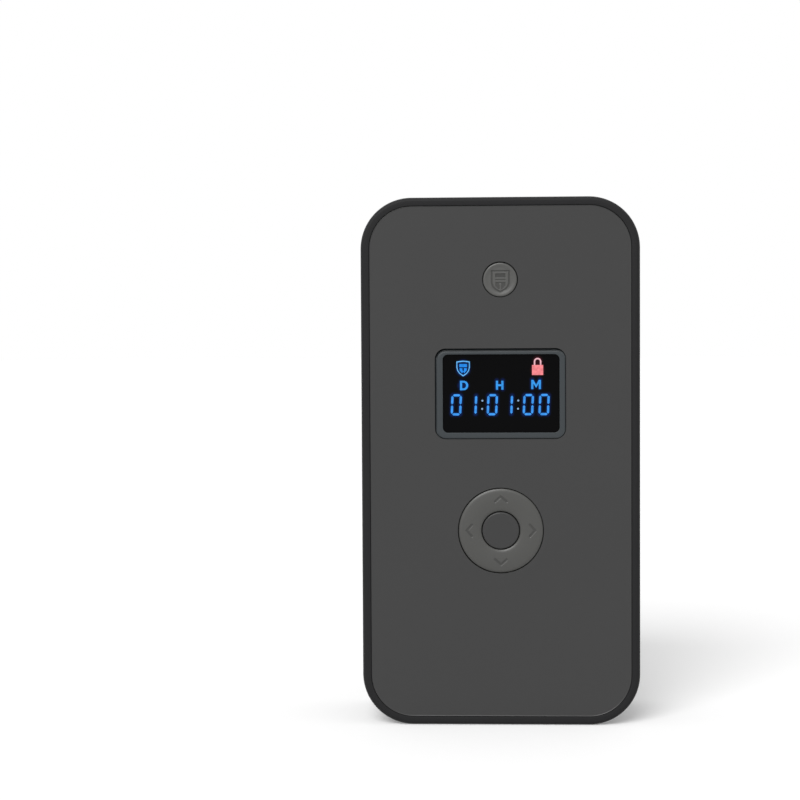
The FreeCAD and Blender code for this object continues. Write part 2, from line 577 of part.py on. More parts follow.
def direction_pad():
    """Ring key that rocks four ways; two lugs carry the rocking ring's pins, four stems press switches."""
    body, back = turned_key("direction_pad", PAD_HEIGHT, "pad_diameter",
                            f"({WEB_BACK} - pad_drop)", CAP_BACK, "pad_bore")
    pad(body, "pad_lugs", "XZ_Plane", f"({PIVOT} - lug_wall)", back,
        *[box("-lug_width/2", "lug_width/2", low, high)
          for low, high in ((LUG_NEAR, LUG_FAR), (f"-{LUG_FAR}", f"-{LUG_NEAR}"))])
    pocket(body, "lug_holes", "XY_Plane", f"-{LUG_FAR}", LUG_FAR,
           disc("0", f"-{PIVOT}", "(pin_diameter + 2*pin_fit)"))
    pad(body, "pad_stems", "XZ_Plane", PLUNGER_TOP, back,
        *[disc(x, z, "stem_diameter") for x, z in PAD_SWITCHES])
    key_cap("pad_cap", PAD_HEIGHT, "pad_diameter", "pad_bore")


def pad_carrier():
    """Rocking ring: two pins across lie in the deck's saddles, two pins upright lie in the pad's lugs."""
    body = new_body("pad_carrier", height=PAD_HEIGHT)
    half = "(carrier_thickness/2)"
    pad(body, "ring", "XZ_Plane", f"({PIVOT} - {half})", f"({PIVOT} + {half})",
        disc("0", "0", "carrier_diameter"), disc("0", "0", "carrier_bore"))
    start = "(carrier_diameter/2 - lug_wall/2)"
    end = f"({LUG_FAR} - pin_fit)"
    for name, role, place in (("across", "YZ_Plane", (f"-{PIVOT}", "0")),
                              ("upright", "XY_Plane", ("0", f"-{PIVOT}"))):
        pad(body, f"{name}_pin_far", role, start, end, disc(*place, "pin_diameter"))
        pad(body, f"{name}_pin_near", role, f"-{end}", f"-{start}", disc(*place, "pin_diameter"))


def charge_port():
    """Charging inlet on the board's back edge; its mouth passes through the lid's end wall."""
    body = new_body("charge_port")
    level = f"(-{BOARD_BACK} + port_height/2)"
    mouth = "(case_height - port_inset)"
    pad(body, "shell", "XY_Plane", f"({mouth} - port_length)", mouth,
        centred("port_width", "port_height", "0", level, "port_round"))
    pocket(body, "port_mouth", "XY_Plane", f"({mouth} - port_depth)", mouth,
           centred("(port_width - 2*port_shell)", "(port_height - 2*port_shell)", "0", level,
                   "(port_round - port_shell)"))
    pad(body, "tongue", "XY_Plane", f"({mouth} - port_length + port_shell)", f"({mouth} - 2*port_shell)",
        centred("tongue_width", "tongue_thickness", "0", level))


def board_items():
    """Chips, connectors and buzzer on the back of the board."""
    chips = new_body("control_chips", several=True)
    pad(chips, "chips", "XZ_Plane", f"({BOARD_BACK} - chip_thickness)", BOARD_BACK,
        *[centred(f"{name}_size", f"{name}_size", f"{sign}{name}_x", f"(case_height - {name}_below_top)")
          for name, sign in (("controller", "-"), ("driver", ""), ("charger", ""))])
    connectors = new_body("board_connectors", several=True)
    pad(connectors, "headers", "XZ_Plane", f"({BOARD_BACK} - connector_depth)", BOARD_BACK,
        *[box(f"{x} - connector_width/2", f"{x} + connector_width/2", z, f"{z} + connector_height")
          for x, z in CONNECTORS])
    buzzer = new_body("buzzer")
    back, middle = f"({BOARD_BACK} - buzzer_thickness)", f"({BOARD_BACK} - buzzer_thickness/2)"
    place = ("buzzer_x", "(case_height - buzzer_below_top)")
    pad(buzzer, "sounder", "XZ_Plane", back, BOARD_BACK, disc(*place, "buzzer_diameter"))
    pocket(buzzer, "sound_opening", "XZ_Plane", back, middle, disc(*place, "sound_hole"))


def battery():
    """Pouch cell taped to the cover."""
    body = new_body("battery")
    pad(body, "pouch", "XZ_Plane", "0", "battery_thickness",
        box(f"-{BATTERY_LEFT}", f"-{BATTERY_RIGHT}", BATTERY_LOW, BATTERY_HIGH, "battery_corner"))
    round_edges(body, "pouch_softening", "battery_corner", at_level("battery_thickness"))


def leads(name, x, low, low_level, high, high_level):
    """Two insulated leads: up from the low end, forward over a bend, and up again into a connector."""
    spread, radius = value("lead_spread")/2, value("lead_diameter")/2
    y_low, y_high, z_low, z_high = -value(low_level), -value(high_level), value(low), value(high)
    bend = abs(y_high - y_low)/2
    z_middle = (z_low + z_high)/2
    solids = []
    for place in (value(x) - spread, value(x) + spread):
        corners = [Vector(place, y_low, z_low), Vector(place, y_low, z_middle - bend),
                   Vector(place, (y_low + y_high)/2, z_middle), Vector(place, y_high, z_middle + bend),
                   Vector(place, y_high, z_high)]
        slant = bend*(1 - math.sqrt(0.5))
        first = Part.Arc(corners[1], Vector(place, y_low + math.copysign(slant, y_high - y_low),
                                            z_middle - slant), corners[2])
        second = Part.Arc(corners[2], Vector(place, y_high - math.copysign(slant, y_high - y_low),
                                             z_middle + slant), corners[3])
        path = Part.Wire([Part.LineSegment(corners[0], corners[1]).toShape(), first.toShape(),
                          second.toShape(), Part.LineSegment(corners[3], corners[4]).toShape()])
        section = Part.Wire(Part.makeCircle(radius, corners[0], Vector(0, 0, 1)))
        solids.append(path.makePipeShell([section], True, False))
    add_shape(name, Part.makeCompound(solids))


def add_shape(name, shape, x="0", level="0", height="0"):
    """Sub-part whose form is worked out with Part's own functions, set at its place."""
    item = document.addObject("Part::Feature", name)
    item.Label = name
    item.Shape = shape
    bind(item, "Placement.Base.x", x)
    bind(item, "Placement.Base.y", f"-{level}")
    bind(item, "Placement.Base.z", height)
    parts.append(item)
    return item


def lid_cover():
    """Inner cover of the lid: plate inside the lid's wall, lip that nests in the tub, slots for the hasps."""
    body = new_body("lid_cover")
    pad(body, "cover_plate", "XZ_Plane", "-cover_thickness", "0", case_outline("(wall + cover_play)"))
    pad(body, "cover_lip", "XZ_Plane", "(-cover_thickness - lip_depth)", "-cover_thickness",
        case_outline("(wall + lip_play)"), case_outline("(wall + lip_play + lip_thickness)"))
    half = "(hasp_width/2 + hasp_play)"
    near, far = f"({HASP_NEAR} - hasp_play)", f"({HASP_FAR} + hasp_play)"
    pocket(body, "hasp_slots", "XZ_Plane", "-cover_thickness", "0",
           box(f"-{half}", half, near, far),
           box(f"-{half}", half, f"case_height - {far}", f"case_height - {near}"))
    pocket(body, "cover_screw_holes", "XZ_Plane", "-cover_thickness", "0",
           *[disc(x, z, "screw_hole") for x, z in COVER_SCREWS])
    pocket(body, "cover_counterbores", "XZ_Plane",
           "-cover_thickness", "(-cover_thickness + screw_head_height)",
           *[disc(x, z, "(screw_head + screw_hole - screw_diameter)") for x, z in COVER_SCREWS])


def boltwork_base():
    """Plate on the cover that carries the gear post, the bolt ribs, the worm's bearing and the motor."""
    body = new_body("boltwork_base", height=MIDDLE)
    pad(body, "base", "XZ_Plane", "0", "base_thickness",
        box(f"-{BASE_LEFT}", BASE_RIGHT, "-base_low", BASE_HIGH, "base_screw_inset"))
    rib_edges = (("rib_near", "rib_far"), ("-rib_far", "-rib_near"))
    sides = ((f"-{RACK_BACK} - rib_thickness", f"-{RACK_BACK}"), (RACK_BACK, f"{RACK_BACK} + rib_thickness"))
    pad(body, "bolt_ribs", "XZ_Plane", "base_thickness/2", BOLT_TOP,
        *[box(left, right, low, high) for low, high in rib_edges for left, right in sides])
    pad(body, "bearing_block", "XZ_Plane", "base_thickness/2", f"({WORM_LEVEL} + bearing_crown)",
        box(f"{WORM_X} - bearing_width/2", f"{WORM_X} + bearing_width/2",
            f"-{BEARING_FAR}", f"-{BEARING_NEAR}"))
    pocket(body, "bearing_hole", "XY_Plane", f"-{BEARING_FAR}", f"-{BEARING_NEAR}",
           disc(WORM_X, f"-{WORM_LEVEL}", "(shaft_diameter + 2*post_fit)"))
    pocket(body, "post_hole", "XZ_Plane", "0", "base_thickness",
           disc("0", "0", "(post_diameter + 2*post_fit)"))
    pocket(body, "base_screw_holes", "XZ_Plane", "0", "base_thickness",
           *[disc(x, f"({z} - {MIDDLE})", "small_hole") for x, z in BASE_SCREWS + CLAMP_SCREWS])


def wheel_post():
    """Steel post of the drive gear, grooved for its clip."""
    body = new_body("wheel_post", height=MIDDLE)
    top = f"({WHEEL_HIGH} + clip_play)"
    pad(body, "post", "XZ_Plane", "0", f"({top} + 2*clip_thickness)", disc("0", "0", "post_diameter"))
    pocket(body, "clip_groove", "XZ_Plane", top, f"({top} + clip_thickness)",
           disc("0", "0", "clip_diameter"), disc("0", "0", "groove_diameter"))
    clip = new_body("post_clip", height=MIDDLE)
    pad(clip, "clip", "XZ_Plane", top, f"({top} + clip_thickness)",
        disc("0", "0", "clip_diameter"), disc("0", "0", "(groove_diameter + 2*post_fit)"))
    pocket(clip, "clip_mouth", "XZ_Plane", top, f"({top} + clip_thickness)",
           box("-clip_mouth/2", "clip_mouth/2", "-clip_diameter", "0"))


def bolt_guides():
    """Two bridges on the cover that the bolt heads slide through."""
    body = new_body("bolt_guides", several=True, height=MIDDLE)
    floor = "(bolt_level - guide_play/2)"
    top = f"({BOLT_TOP} + guide_play/2)"
    inner = "(bolt_head_width/2 + guide_play)"
    for name, low, high in (("upper", GUIDE_NEAR, GUIDE_FAR), ("lower", f"-{GUIDE_FAR}", f"-{GUIDE_NEAR}")):
        pad(body, f"{name}_bridge", "XY_Plane", low, high,
            box(f"-{GUIDE_HALF}", GUIDE_HALF, f"-{top} - guide_wall", "0"),
            box(f"-{inner}", inner, f"-{top}", f"-{floor}"))
        pad(body, f"{name}_feet", "XY_Plane", low, high,
            box(f"-{GUIDE_HALF} - guide_foot", f"-{GUIDE_HALF}", "-base_thickness", "0"),
            box(GUIDE_HALF, f"{GUIDE_HALF} + guide_foot", "-base_thickness", "0"))
    pocket(body, "guide_screw_holes", "XZ_Plane", "0", "base_thickness",
           *[disc(x, f"({z} - {MIDDLE})", "small_hole") for x, z in GUIDE_SCREWS])


def motor():
    """Small motor: flat-sided can, end cap and two terminals, with a boss round its shaft."""
    body = new_body("motor")
    level = f"-{WORM_LEVEL}"
    pad(body, "can", "XY_Plane", MOTOR_LOW, MOTOR_HIGH,
        centred("motor_width", "motor_thickness", WORM_X, level, "motor_corner"))
    pad(body, "end_cap", "XY_Plane", MOTOR_HIGH, f"({MOTOR_HIGH} + motor_cap)",
        centred("(motor_width - 2*motor_cap)", "(motor_thickness - 2*motor_cap)", WORM_X, level,
                "(motor_corner - motor_cap)"))
    pad(body, "front_boss", "XY_Plane", f"({MOTOR_LOW} - motor_cap)", MOTOR_LOW,
        disc(WORM_X, level, "motor_boss_diameter"))
    pocket(body, "shaft_bore", "XY_Plane", f"({MOTOR_LOW} - motor_cap)", f"({MOTOR_LOW} + motor_bore)",
           disc(WORM_X, level, "(shaft_diameter + 2*post_fit)"))


def motor_clamp():
    """Strap over the motor with a foot on each side."""
    body = new_body("motor_clamp")
    low, high = f"({CLAMP_MIDDLE} - clamp_length/2)", f"({CLAMP_MIDDLE} + clamp_length/2)"
    inner = "(motor_width/2 + clamp_play)"
    outer = f"({inner} + clamp_sheet)"
    crest = f"({WORM_LEVEL} + motor_thickness/2 + clamp_play)"
    pad(body, "strap", "XY_Plane", low, high,
        polygon((f"({WORM_X} - {outer} - clamp_foot)", "-base_thickness"),
                (f"({WORM_X} - {inner})", "-base_thickness"), (f"({WORM_X} - {inner})", f"-{crest}"),
                (f"({WORM_X} + {inner})", f"-{crest}"), (f"({WORM_X} + {inner})", "-base_thickness"),
                (f"({WORM_X} + {outer} + clamp_foot)", "-base_thickness"),
                (f"({WORM_X} + {outer} + clamp_foot)", "(-base_thickness - clamp_sheet)"),
                (f"({WORM_X} + {outer})", "(-base_thickness - clamp_sheet)"),
                (f"({WORM_X} + {outer})", f"(-{crest} - clamp_sheet)"),
                (f"({WORM_X} - {outer})", f"(-{crest} - clamp_sheet)"),
                (f"({WORM_X} - {outer})", "(-base_thickness - clamp_sheet)"),
                (f"({WORM_X} - {outer} - clamp_foot)", "(-base_thickness - clamp_sheet)")))
    pocket(body, "clamp_holes", "XZ_Plane", "base_thickness", "(base_thickness + clamp_sheet)",
           *[disc(x, z, "small_hole") for x, z in CLAMP_SCREWS])


def position_switch():
    """Small switch beside the upper bolt's rack, between the ribs."""
    body = new_body("position_switch", height=MIDDLE)
    pad(body, "switch_block", "XZ_Plane", "base_thickness", BOLT_TOP,
        box(f"-{RACK_BACK} - position_width", f"-{RACK_BACK}", "-position_length/2", "position_length/2"))


def bolt(name, turned):
    """Bolt bar: racked arm beside the pinion, dog-leg to the middle line, head that enters the hasp."""
    body = new_body(name, height=MIDDLE)
    if turned:
        body.Placement.Rotation = Rotation(Vector(0, 1, 0), 180)
    tip_line = f"(-{PINION_RADIUS} + stub_addendum)"
    back = f"({tip_line} - arm_width)"
    head = "(bolt_head_width/2)"
    pad(body, f"{name}_bar", "XZ_Plane", "bolt_level", BOLT_TOP,
        polygon((back, "-arm_end"), (tip_line, "-arm_end"), (tip_line, "dogleg_low"), (head, "dogleg_low"),
                (head, BOLT_TIP), (f"-{head}", BOLT_TIP), (f"-{head}", "dogleg_high"), (back, "dogleg_high")))
    round_edges(body, f"{name}_corners", "bolt_chamfer",
                lambda span: span.YLength > value("bolt_thickness") - 0.01, kind="Chamfer")
    pitch = "(pi*rack_module)"
    half_gap = f"({pitch}/4 + rack_backlash/2)"
    slope = "tan(pressure_angle*1deg)"
    root = f"(-{PINION_RADIUS} - stub_dedendum)"
    past = f"({tip_line} + rack_backlash)"
    first = f"(-(rack_gaps/2 + 1)*{pitch})"
    root_half = f"({half_gap} - stub_dedendum*{slope})"
    mouth_half = f"({half_gap} + (stub_addendum + rack_backlash)*{slope})"
    gap = pocket(body, f"{name}_gap", "XZ_Plane", "bolt_level", BOLT_TOP,
                 polygon((root, f"({first} - {root_half})"), (past, f"({first} - {mouth_half})"),
                         (past, f"({first} + {mouth_half})"), (root, f"({first} + {root_half})")))
    document.recompute()
    rack = body.newObject("PartDesign::LinearPattern", f"{name}_rack")
    rack.Originals = [gap]
    rack.Direction = (datum(body, "Z_Axis"), [""])
    bind(rack, "Length", f"(rack_gaps - 1)*{pitch}")
    bind(rack, "Occurrences", "rack_gaps")
    body.Tip = rack


def involute(angle):
    """Involute function of a pressure angle."""
    return math.tan(angle) - angle


def gear_wire(module, teeth, addendum, dedendum, backlash, level, twist):
    """Gear outline about the Y axis, a tooth space on +X: involute flanks as arcs, tips and roots as arcs."""
    pressure = math.radians(value("pressure_angle"))
    pitch_radius = module*teeth/2
    base_radius = pitch_radius*math.cos(pressure)
    tip_radius, root_radius = pitch_radius + addendum, pitch_radius - dedendum
    half_pitch = (math.pi*module/2 - backlash)/2/pitch_radius

    def half_tooth(radius):
        angle = math.acos(min(1.0, base_radius/max(radius, base_radius)))
        return half_pitch + involute(pressure) - involute(angle)

    def point(radius, angle):
        return Vector(radius*math.cos(angle + twist), -level, radius*math.sin(angle + twist))

    flank_start = max(root_radius, base_radius)
    flank_middle = (flank_start + tip_radius)/2
    step = 2*math.pi/teeth
    edges = []
    for tooth in range(int(teeth)):
        middle = step*(tooth + 0.5)
        left = [point(radius, middle - half_tooth(radius))
                for radius in (flank_start, flank_middle, tip_radius)]
        right = [point(radius, middle + half_tooth(radius))
                 for radius in (tip_radius, flank_middle, flank_start)]
        foot_in = point(root_radius, middle - half_tooth(flank_start))
        foot_out = point(root_radius, middle + half_tooth(flank_start))
        next_foot = point(root_radius, middle + step - half_tooth(flank_start))
        if root_radius < base_radius:
            edges.append(Part.LineSegment(foot_in, left[0]).toShape())
        edges.append(Part.Arc(*left).toShape())
        edges.append(Part.Arc(left[2], point(tip_radius, middle), right[0]).toShape())
        edges.append(Part.Arc(*right).toShape())
        if root_radius < base_radius:
            edges.append(Part.LineSegment(right[2], foot_out).toShape())
        edges.append(Part.Arc(foot_out, point(root_radius, middle + step/2), next_foot).toShape())
    return Part.Wire(edges)


def drive_gear():
    """Worm wheel with slanted teeth and the rack pinion behind it, in one moulding on the post."""
    teeth, module = value("wheel_teeth"), value("worm_module")
    low, high = value(WHEEL_LOW), value(WHEEL_HIGH)
    lead_slope = module/value("worm_diameter")
    twist = lead_slope*(high - low)/2/value(WHEEL_RADIUS)
    dedendum = module + value("tooth_clearance")
    wires = [gear_wire(module, teeth, module, dedendum, value("worm_backlash")/2, level, turn)
             for level, turn in ((low, -twist), (high, twist))]
    wheel = Part.makeLoft(wires, True, True)
    start = value("bolt_level")
    outline = gear_wire(value("rack_module"), value("pinion_teeth"), value("stub_addendum"),
                        value("stub_dedendum"), value("rack_backlash")/2, start, 0.0)
    pinion = Part.Face(outline).extrude(Vector(0, start - low, 0))
    bore = Part.makeCylinder(value("post_diameter/2 + post_fit"), high + 1, Vector(0, 0, 0), Vector(0, -1, 0))
    add_shape("drive_gear", wheel.fuse(pinion).cut(bore).removeSplitter(), height=MIDDLE)


def worm():
    """Right-handed worm: a trapezoid thread carried along a helix round its core, bored for the shaft."""
    module, radius = value("worm_module"), value("worm_diameter/2")
    pitch, half_length = math.pi*module, value("worm_length/2")
    root, tip = radius - module - value("tooth_clearance"), radius + module
    slope = math.tan(math.radians(value("pressure_angle")))
    half = (pitch/2 - value("worm_backlash"))/2
    turns = 2*math.ceil(half_length/pitch) + 1
    start = -turns*pitch/2
    sunk = root - value("tooth_clearance")/2
    profile = [Vector(sunk, 0, start - half - (radius - sunk)*slope),
               Vector(tip, 0, start - half + (tip - radius)*slope),
               Vector(tip, 0, start + half - (tip - radius)*slope),
               Vector(sunk, 0, start + half + (radius - sunk)*slope)]
    helix = Part.makeHelix(pitch, turns*pitch, radius)
    helix.translate(Vector(0, 0, start))
    thread = Part.Wire(helix).makePipeShell([Part.makePolygon(profile + profile[:1])], True, True)
    core = Part.makeCylinder(root, 2*half_length, Vector(0, 0, -half_length))
    limit = Part.makeCylinder(tip + 1, 2*half_length, Vector(0, 0, -half_length))
    bore = Part.makeCylinder(value("shaft_diameter/2"), 2*half_length, Vector(0, 0, -half_length))
    add_shape("worm", core.fuse(thread.common(limit)).cut(bore), WORM_X, WORM_LEVEL, MIDDLE)
    shaft = new_body("worm_shaft")
    pad(shaft, "shaft", "XY_Plane", f"({MIDDLE} - {BEARING_FAR})", f"({MOTOR_LOW} + motor_bore - post_fit)",
        disc(WORM_X, f"-{WORM_LEVEL}", "shaft_diameter"))


def build():
    """Every sub-part in turn."""
    container_shell()
    cavity_mat()
    hasp("lower_hasp", HASP_NEAR, HASP_FAR)
    hasp("upper_hasp", f"(case_height - {HASP_FAR})", f"(case_height - {HASP_NEAR})")
    hasp_screws()
    rubber_feet()
    lid_shell()
    face_plate()
    display_bezel()
    display_window()
    display_module()
    main_board()
    key_deck()
    key_switches()
    board_items()
    charge_port()
    battery()
    lid_cover()
    boltwork_base()
    wheel_post()
    bolt_guides()
    motor()
    motor_clamp()
    position_switch()
    screws("board_screws", BOARD_SCREWS, "XZ_Plane", f"({WEB_BACK} - 2*screw_fit)", BOARD_BACK,
           f"({BOARD_BACK} - small_head_height)", small=True, flip=True)
    screws("cover_screws", COVER_SCREWS, "XZ_Plane", "(boss_depth - 2*screw_end_gap)",
           "(-cover_thickness + screw_head_height)", "-cover_thickness", flip=True)
    screws("base_screws", BASE_SCREWS, "XZ_Plane", "0", "base_thickness",
           "(base_thickness + small_head_height)", small=True)
    screws("clamp_screws", CLAMP_SCREWS, "XZ_Plane", "0", "(base_thickness + clamp_sheet)",
           "(base_thickness + clamp_sheet + small_head_height)", small=True)
    screws("guide_screws", GUIDE_SCREWS, "XZ_Plane", "0", "base_thickness",
           "(base_thickness + small_head_height)", small=True)
    connector_level = f"({BOARD_BACK} - connector_depth/2)"
    battery_plug, motor_plug = (height for x, height in CONNECTORS)
    leads("battery_leads", BATTERY_X, BATTERY_HIGH, "(battery_thickness/2)", battery_plug, connector_level)
    leads("motor_leads", WORM_X, f"({MOTOR_HIGH} + motor_cap)", WORM_LEVEL, motor_plug, connector_level)
    worm()
    drive_gear()
    bolt("upper_bolt", turned=False)
    bolt("lower_bolt", turned=True)
    mode_button()
    plungers("mode_plunger", [("0", "0")], MODE_HEIGHT)
    centre_button()
    plungers("centre_plunger", [("0", "0")], PAD_HEIGHT)
    pad_carrier()
    direction_pad()
    plungers("pad_plungers", PAD_SWITCHES, PAD_HEIGHT)


def check_and_write():
    """Refuse a failed object or an empty cut, then write one file for each sub-part."""
    document.recompute()
    for item in document.Objects:
        if "Invalid" in item.State or "Error" in item.State:
            raise RuntimeError(f"{item.Name} failed: {item.State}")
    for item in document.findObjects("PartDesign::Pocket"):
        if item.Shape.Volume > item.BaseFeature.Shape.Volume - 1e-3:
            raise RuntimeError(f"{item.Name} cuts nothing")
    os.makedirs("parts", exist_ok=True)
    for item in parts:
        if item.Shape.isNull() or not item.Shape.isValid():
            raise RuntimeError(f"{item.Label} has no valid shape")
        item.Shape.exportStep(f"parts/{item.Label}.step")


build()
check_and_write()
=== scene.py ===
"""Timed lock container: the looks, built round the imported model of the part.

Lengths are in millimetres until a mesh is made. A level is the height above the middle plane
towards the front, so a level of 20 lies at y = -20. Every new piece has its place in its mesh.
"""
import math

import bpy
import numpy as np
from mathutils import Euler, Matrix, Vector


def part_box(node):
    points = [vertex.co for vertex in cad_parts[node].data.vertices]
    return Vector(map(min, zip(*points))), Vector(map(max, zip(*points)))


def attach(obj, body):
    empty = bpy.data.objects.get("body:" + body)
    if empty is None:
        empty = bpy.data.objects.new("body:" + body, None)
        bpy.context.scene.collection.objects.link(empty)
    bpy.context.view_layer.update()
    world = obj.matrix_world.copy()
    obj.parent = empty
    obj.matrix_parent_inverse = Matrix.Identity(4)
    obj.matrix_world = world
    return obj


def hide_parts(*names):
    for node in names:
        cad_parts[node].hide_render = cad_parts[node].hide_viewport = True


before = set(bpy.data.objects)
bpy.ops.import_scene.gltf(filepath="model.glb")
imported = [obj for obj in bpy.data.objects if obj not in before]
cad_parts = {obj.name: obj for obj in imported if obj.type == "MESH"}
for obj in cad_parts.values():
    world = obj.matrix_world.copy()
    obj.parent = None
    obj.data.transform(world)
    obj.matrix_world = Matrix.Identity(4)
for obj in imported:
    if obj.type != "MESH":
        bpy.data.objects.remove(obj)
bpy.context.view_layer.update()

MM = 0.001


def extent(node):
    """Lowest and highest corner of a node in millimetres."""
    low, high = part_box(node)
    return np.array(low) / MM, np.array(high) / MM


def centre_of(node):
    """Middle of a node seen from the front, as sideways place and height."""
    low, high = extent(node)
    return ((low + high) / 2)[::2]


def front_of(node):
    """Level of a node's front."""
    return -extent(node)[0][1]


def back_of(node):
    """Level of a node's back."""
    return -extent(node)[1][1]


def half_size(node):
    """Half the width and half the height of a node seen from the front."""
    low, high = extent(node)
    return (high - low)[::2] / 2


# ---- surfaces

def smoothstep(low, high, value):
    """Rises from 0 at low to 1 at high with level ends."""
    share = np.clip((value - low) / (high - low), 0, 1)
    return share * share * (3 - 2 * share)


def spread(*runs):
    """Values along runs given as (start, end, step), each run divided evenly, without repeats."""
    parts = [np.linspace(start, end, max(2, int(round(abs(end - start) / step)) + 1))[:-1]
             for start, end, step in runs]
    return np.concatenate(parts + [[runs[-1][1]]])


def turn_steps(count):
    """Angles of a whole turn without its repeated end."""
    return np.linspace(0, 2 * math.pi, count + 1)[:-1]


def grid_faces(rows, columns, closed_rows=False, closed_columns=False):
    """Quads between neighbours of a grid stored row by row; a closed way joins last to first."""
    row = np.arange(rows if closed_rows else rows - 1)[:, None]
    column = np.arange(columns if closed_columns else columns - 1)[None, :]
    next_row = (row + 1) % rows
    next_column = (column + 1) % columns
    corners = np.broadcast_arrays(row * columns + column, row * columns + next_column,
                                  next_row * columns + next_column, next_row * columns + column)
    return np.stack(corners, axis=-1).reshape(-1, 4)


def fan(ring, pole):
    """Triangles from each edge of a closed ring of point numbers to one pole."""
    return np.stack([ring, np.roll(ring, -1), np.full(len(ring), pole)], axis=-1)


def closed_tube(points):
    """Faces of a grid of points that is closed both ways."""
    return [grid_faces(*points.shape[:2], closed_rows=True, closed_columns=True)]


def closed_turn(rings, first, last):
    """Rings of points joined one to the next and closed by a pole at each end."""
    rows, columns = rings.shape[:2]
    ring, count = np.arange(columns), rows * columns
    faces = [grid_faces(rows, columns, closed_columns=True), fan(ring, count)[:, ::-1],
             fan(ring + count - columns, count + 1)]
    return np.concatenate([rings.reshape(-1, 3), [first, last]]), faces


def front_points(across, level, height):
    """Points from sideways place, level and height."""
    across, level, height = np.broadcast_arrays(across, level, height)
    return np.stack([across, -level, height], axis=-1)


def outward(points, faces):
    """The same faces, turned round if the closed shape's signed volume is below zero."""
    total = 0.0
    for group in faces:
        corner = points[group]
        for k in range(1, group.shape[1] - 1):
            total += np.einsum("ij,ij->", corner[:, 0], np.cross(corner[:, k], corner[:, k + 1]))
    return faces if total > 0 else [group[:, ::-1] for group in faces]


def placed(name, data):
    """New object in the scene that holds this data."""
    made = bpy.data.objects.new(name, data)
    bpy.context.scene.collection.objects.link(made)
    return made


def new_piece(name, points, faces, body, slot, material=None, smooth=True, marks=None):
    """Object made of these points in millimetres and face arrays; it rides on a body.

    Its material is the slot's own unless one is given. marks holds numbers for every point,
    stored under their names for the material to read.
    """
    points = points.reshape(-1, 3)
    mesh = bpy.data.meshes.new(name)
    rows = [row for group in outward(points, faces) for row in group.tolist()]
    mesh.from_pydata((points * MM).tolist(), [], rows)
    mesh.polygons.foreach_set("use_smooth", [smooth] * len(mesh.polygons))
    mesh.materials.append(material or FINISHES[slot])
    for label, values in (marks or {}).items():
        mark = mesh.attributes.new(label, "FLOAT", "POINT")
        mark.data.foreach_set("value", np.ascontiguousarray(values, np.float32).reshape(-1))
    mesh.update()
    piece = placed(name, mesh)
    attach(piece, body)
    return piece


def joined(shapes):
    """One point array and one list of face arrays from several closed (points, faces) shapes."""
    start = 0
    points, faces = [], []
    for shape, groups in shapes:
        shape = shape.reshape(-1, 3)
        points.append(shape)
        faces += [group + start for group in outward(shape, groups)]
        start += len(shape)
    return np.concatenate(points), faces


def closed_sheet(top, back):
    """Front surface given as a grid, closed by walls from its border down to a flat back.

    The back is a fan from the foot of the walls to its middle.
    """
    rows, columns = top.shape[:2]
    number = np.arange(rows * columns).reshape(rows, columns)
    border = np.r_[number[0, :-1], number[:-1, -1], number[-1, :0:-1], number[:0:-1, 0]]
    points = top.reshape(-1, 3)
    wall = points[border].copy()
    wall[:, 1] = -back
    low = rows * columns + np.arange(len(border))
    pole = wall.mean(axis=0)[None]
    sides = np.stack([border, low, np.roll(low, -1), np.roll(border, -1)], axis=-1)
    faces = [grid_faces(rows, columns), sides, fan(low, len(points) + len(border))[:, ::-1]]
    return np.concatenate([points, wall, pole]), faces


def rounded_grid(half_width, half_height, corner, columns, heights):
    """Grid over a rounded rectangle: each row's width follows the round of the corners."""
    height = np.asarray(heights)[:, None]
    into = np.clip(np.abs(height) - (half_height - corner), 0, corner)
    half = half_width - corner + np.sqrt(np.maximum(corner ** 2 - into ** 2, 0))
    across = np.asarray(columns)[None, :] * half
    return across, np.broadcast_to(height, across.shape)


FIRST_TURN = 0.12
CORNER_ROWS = 14


def corner_heights(half_height, corner, step):
    """Heights for such a grid: even steps along the sides, equal turns round the corners.

    The outermost row lies a small turn short of the very end.
    """
    turn = np.linspace(FIRST_TURN, math.pi / 2, CORNER_ROWS)
    bend = half_height - corner + corner * np.cos(turn)
    side = spread((corner - half_height, half_height - corner, step))[1:-1]
    return np.r_[-bend, side, bend[::-1]]


def inside_distance(across, height, half_width, half_height, corner):
    """How far a point lies inside the border of a rounded rectangle."""
    over_x = np.abs(across) - half_width + corner
    over_z = np.abs(height) - half_height + corner
    return corner - np.hypot(np.maximum(over_x, 0), np.maximum(over_z, 0)) \
        - np.minimum(np.maximum(over_x, over_z), 0)


def line_distance(across, height, line):
    """Distance from each point to the middle line of a straight stroke."""
    x0, z0, x1, z1 = line
    run_x, run_z = x1 - x0, z1 - z0
    length = run_x ** 2 + run_z ** 2
    share = np.clip(((across - x0) * run_x + (height - z0) * run_z) / length, 0, 1)
    return np.hypot(across - x0 - share * run_x, height - z0 - share * run_z)


def polyline(across, height, corners, width, soft=0.07):
    """1 within half a width of a bent line, falling to 0 over a soft edge."""
    runs = zip(corners, corners[1:])
    away = np.minimum.reduce([line_distance(across, height, (*a, *b)) for a, b in runs])
    return 1 - smoothstep(width / 2 - soft, width / 2 + soft, away)


# ---- materials

def srgb(red, green, blue):
    """Colour written in 0-255 screen values, as the shader's linear colour."""
    def linear(value):
        share = value / 255
        return share / 12.92 if share <= 0.04045 else ((share + 0.055) / 1.055) ** 2.4
    return (linear(red), linear(green), linear(blue), 1.0)


def set_inputs(tree, node, inputs):
    """Sets inputs of a node; each value is a number, a colour or a socket to link."""
    for key, value in inputs.items():
        if isinstance(value, bpy.types.NodeSocket):
            tree.links.new(value, node.inputs[key])
        else:
            node.inputs[key].default_value = value


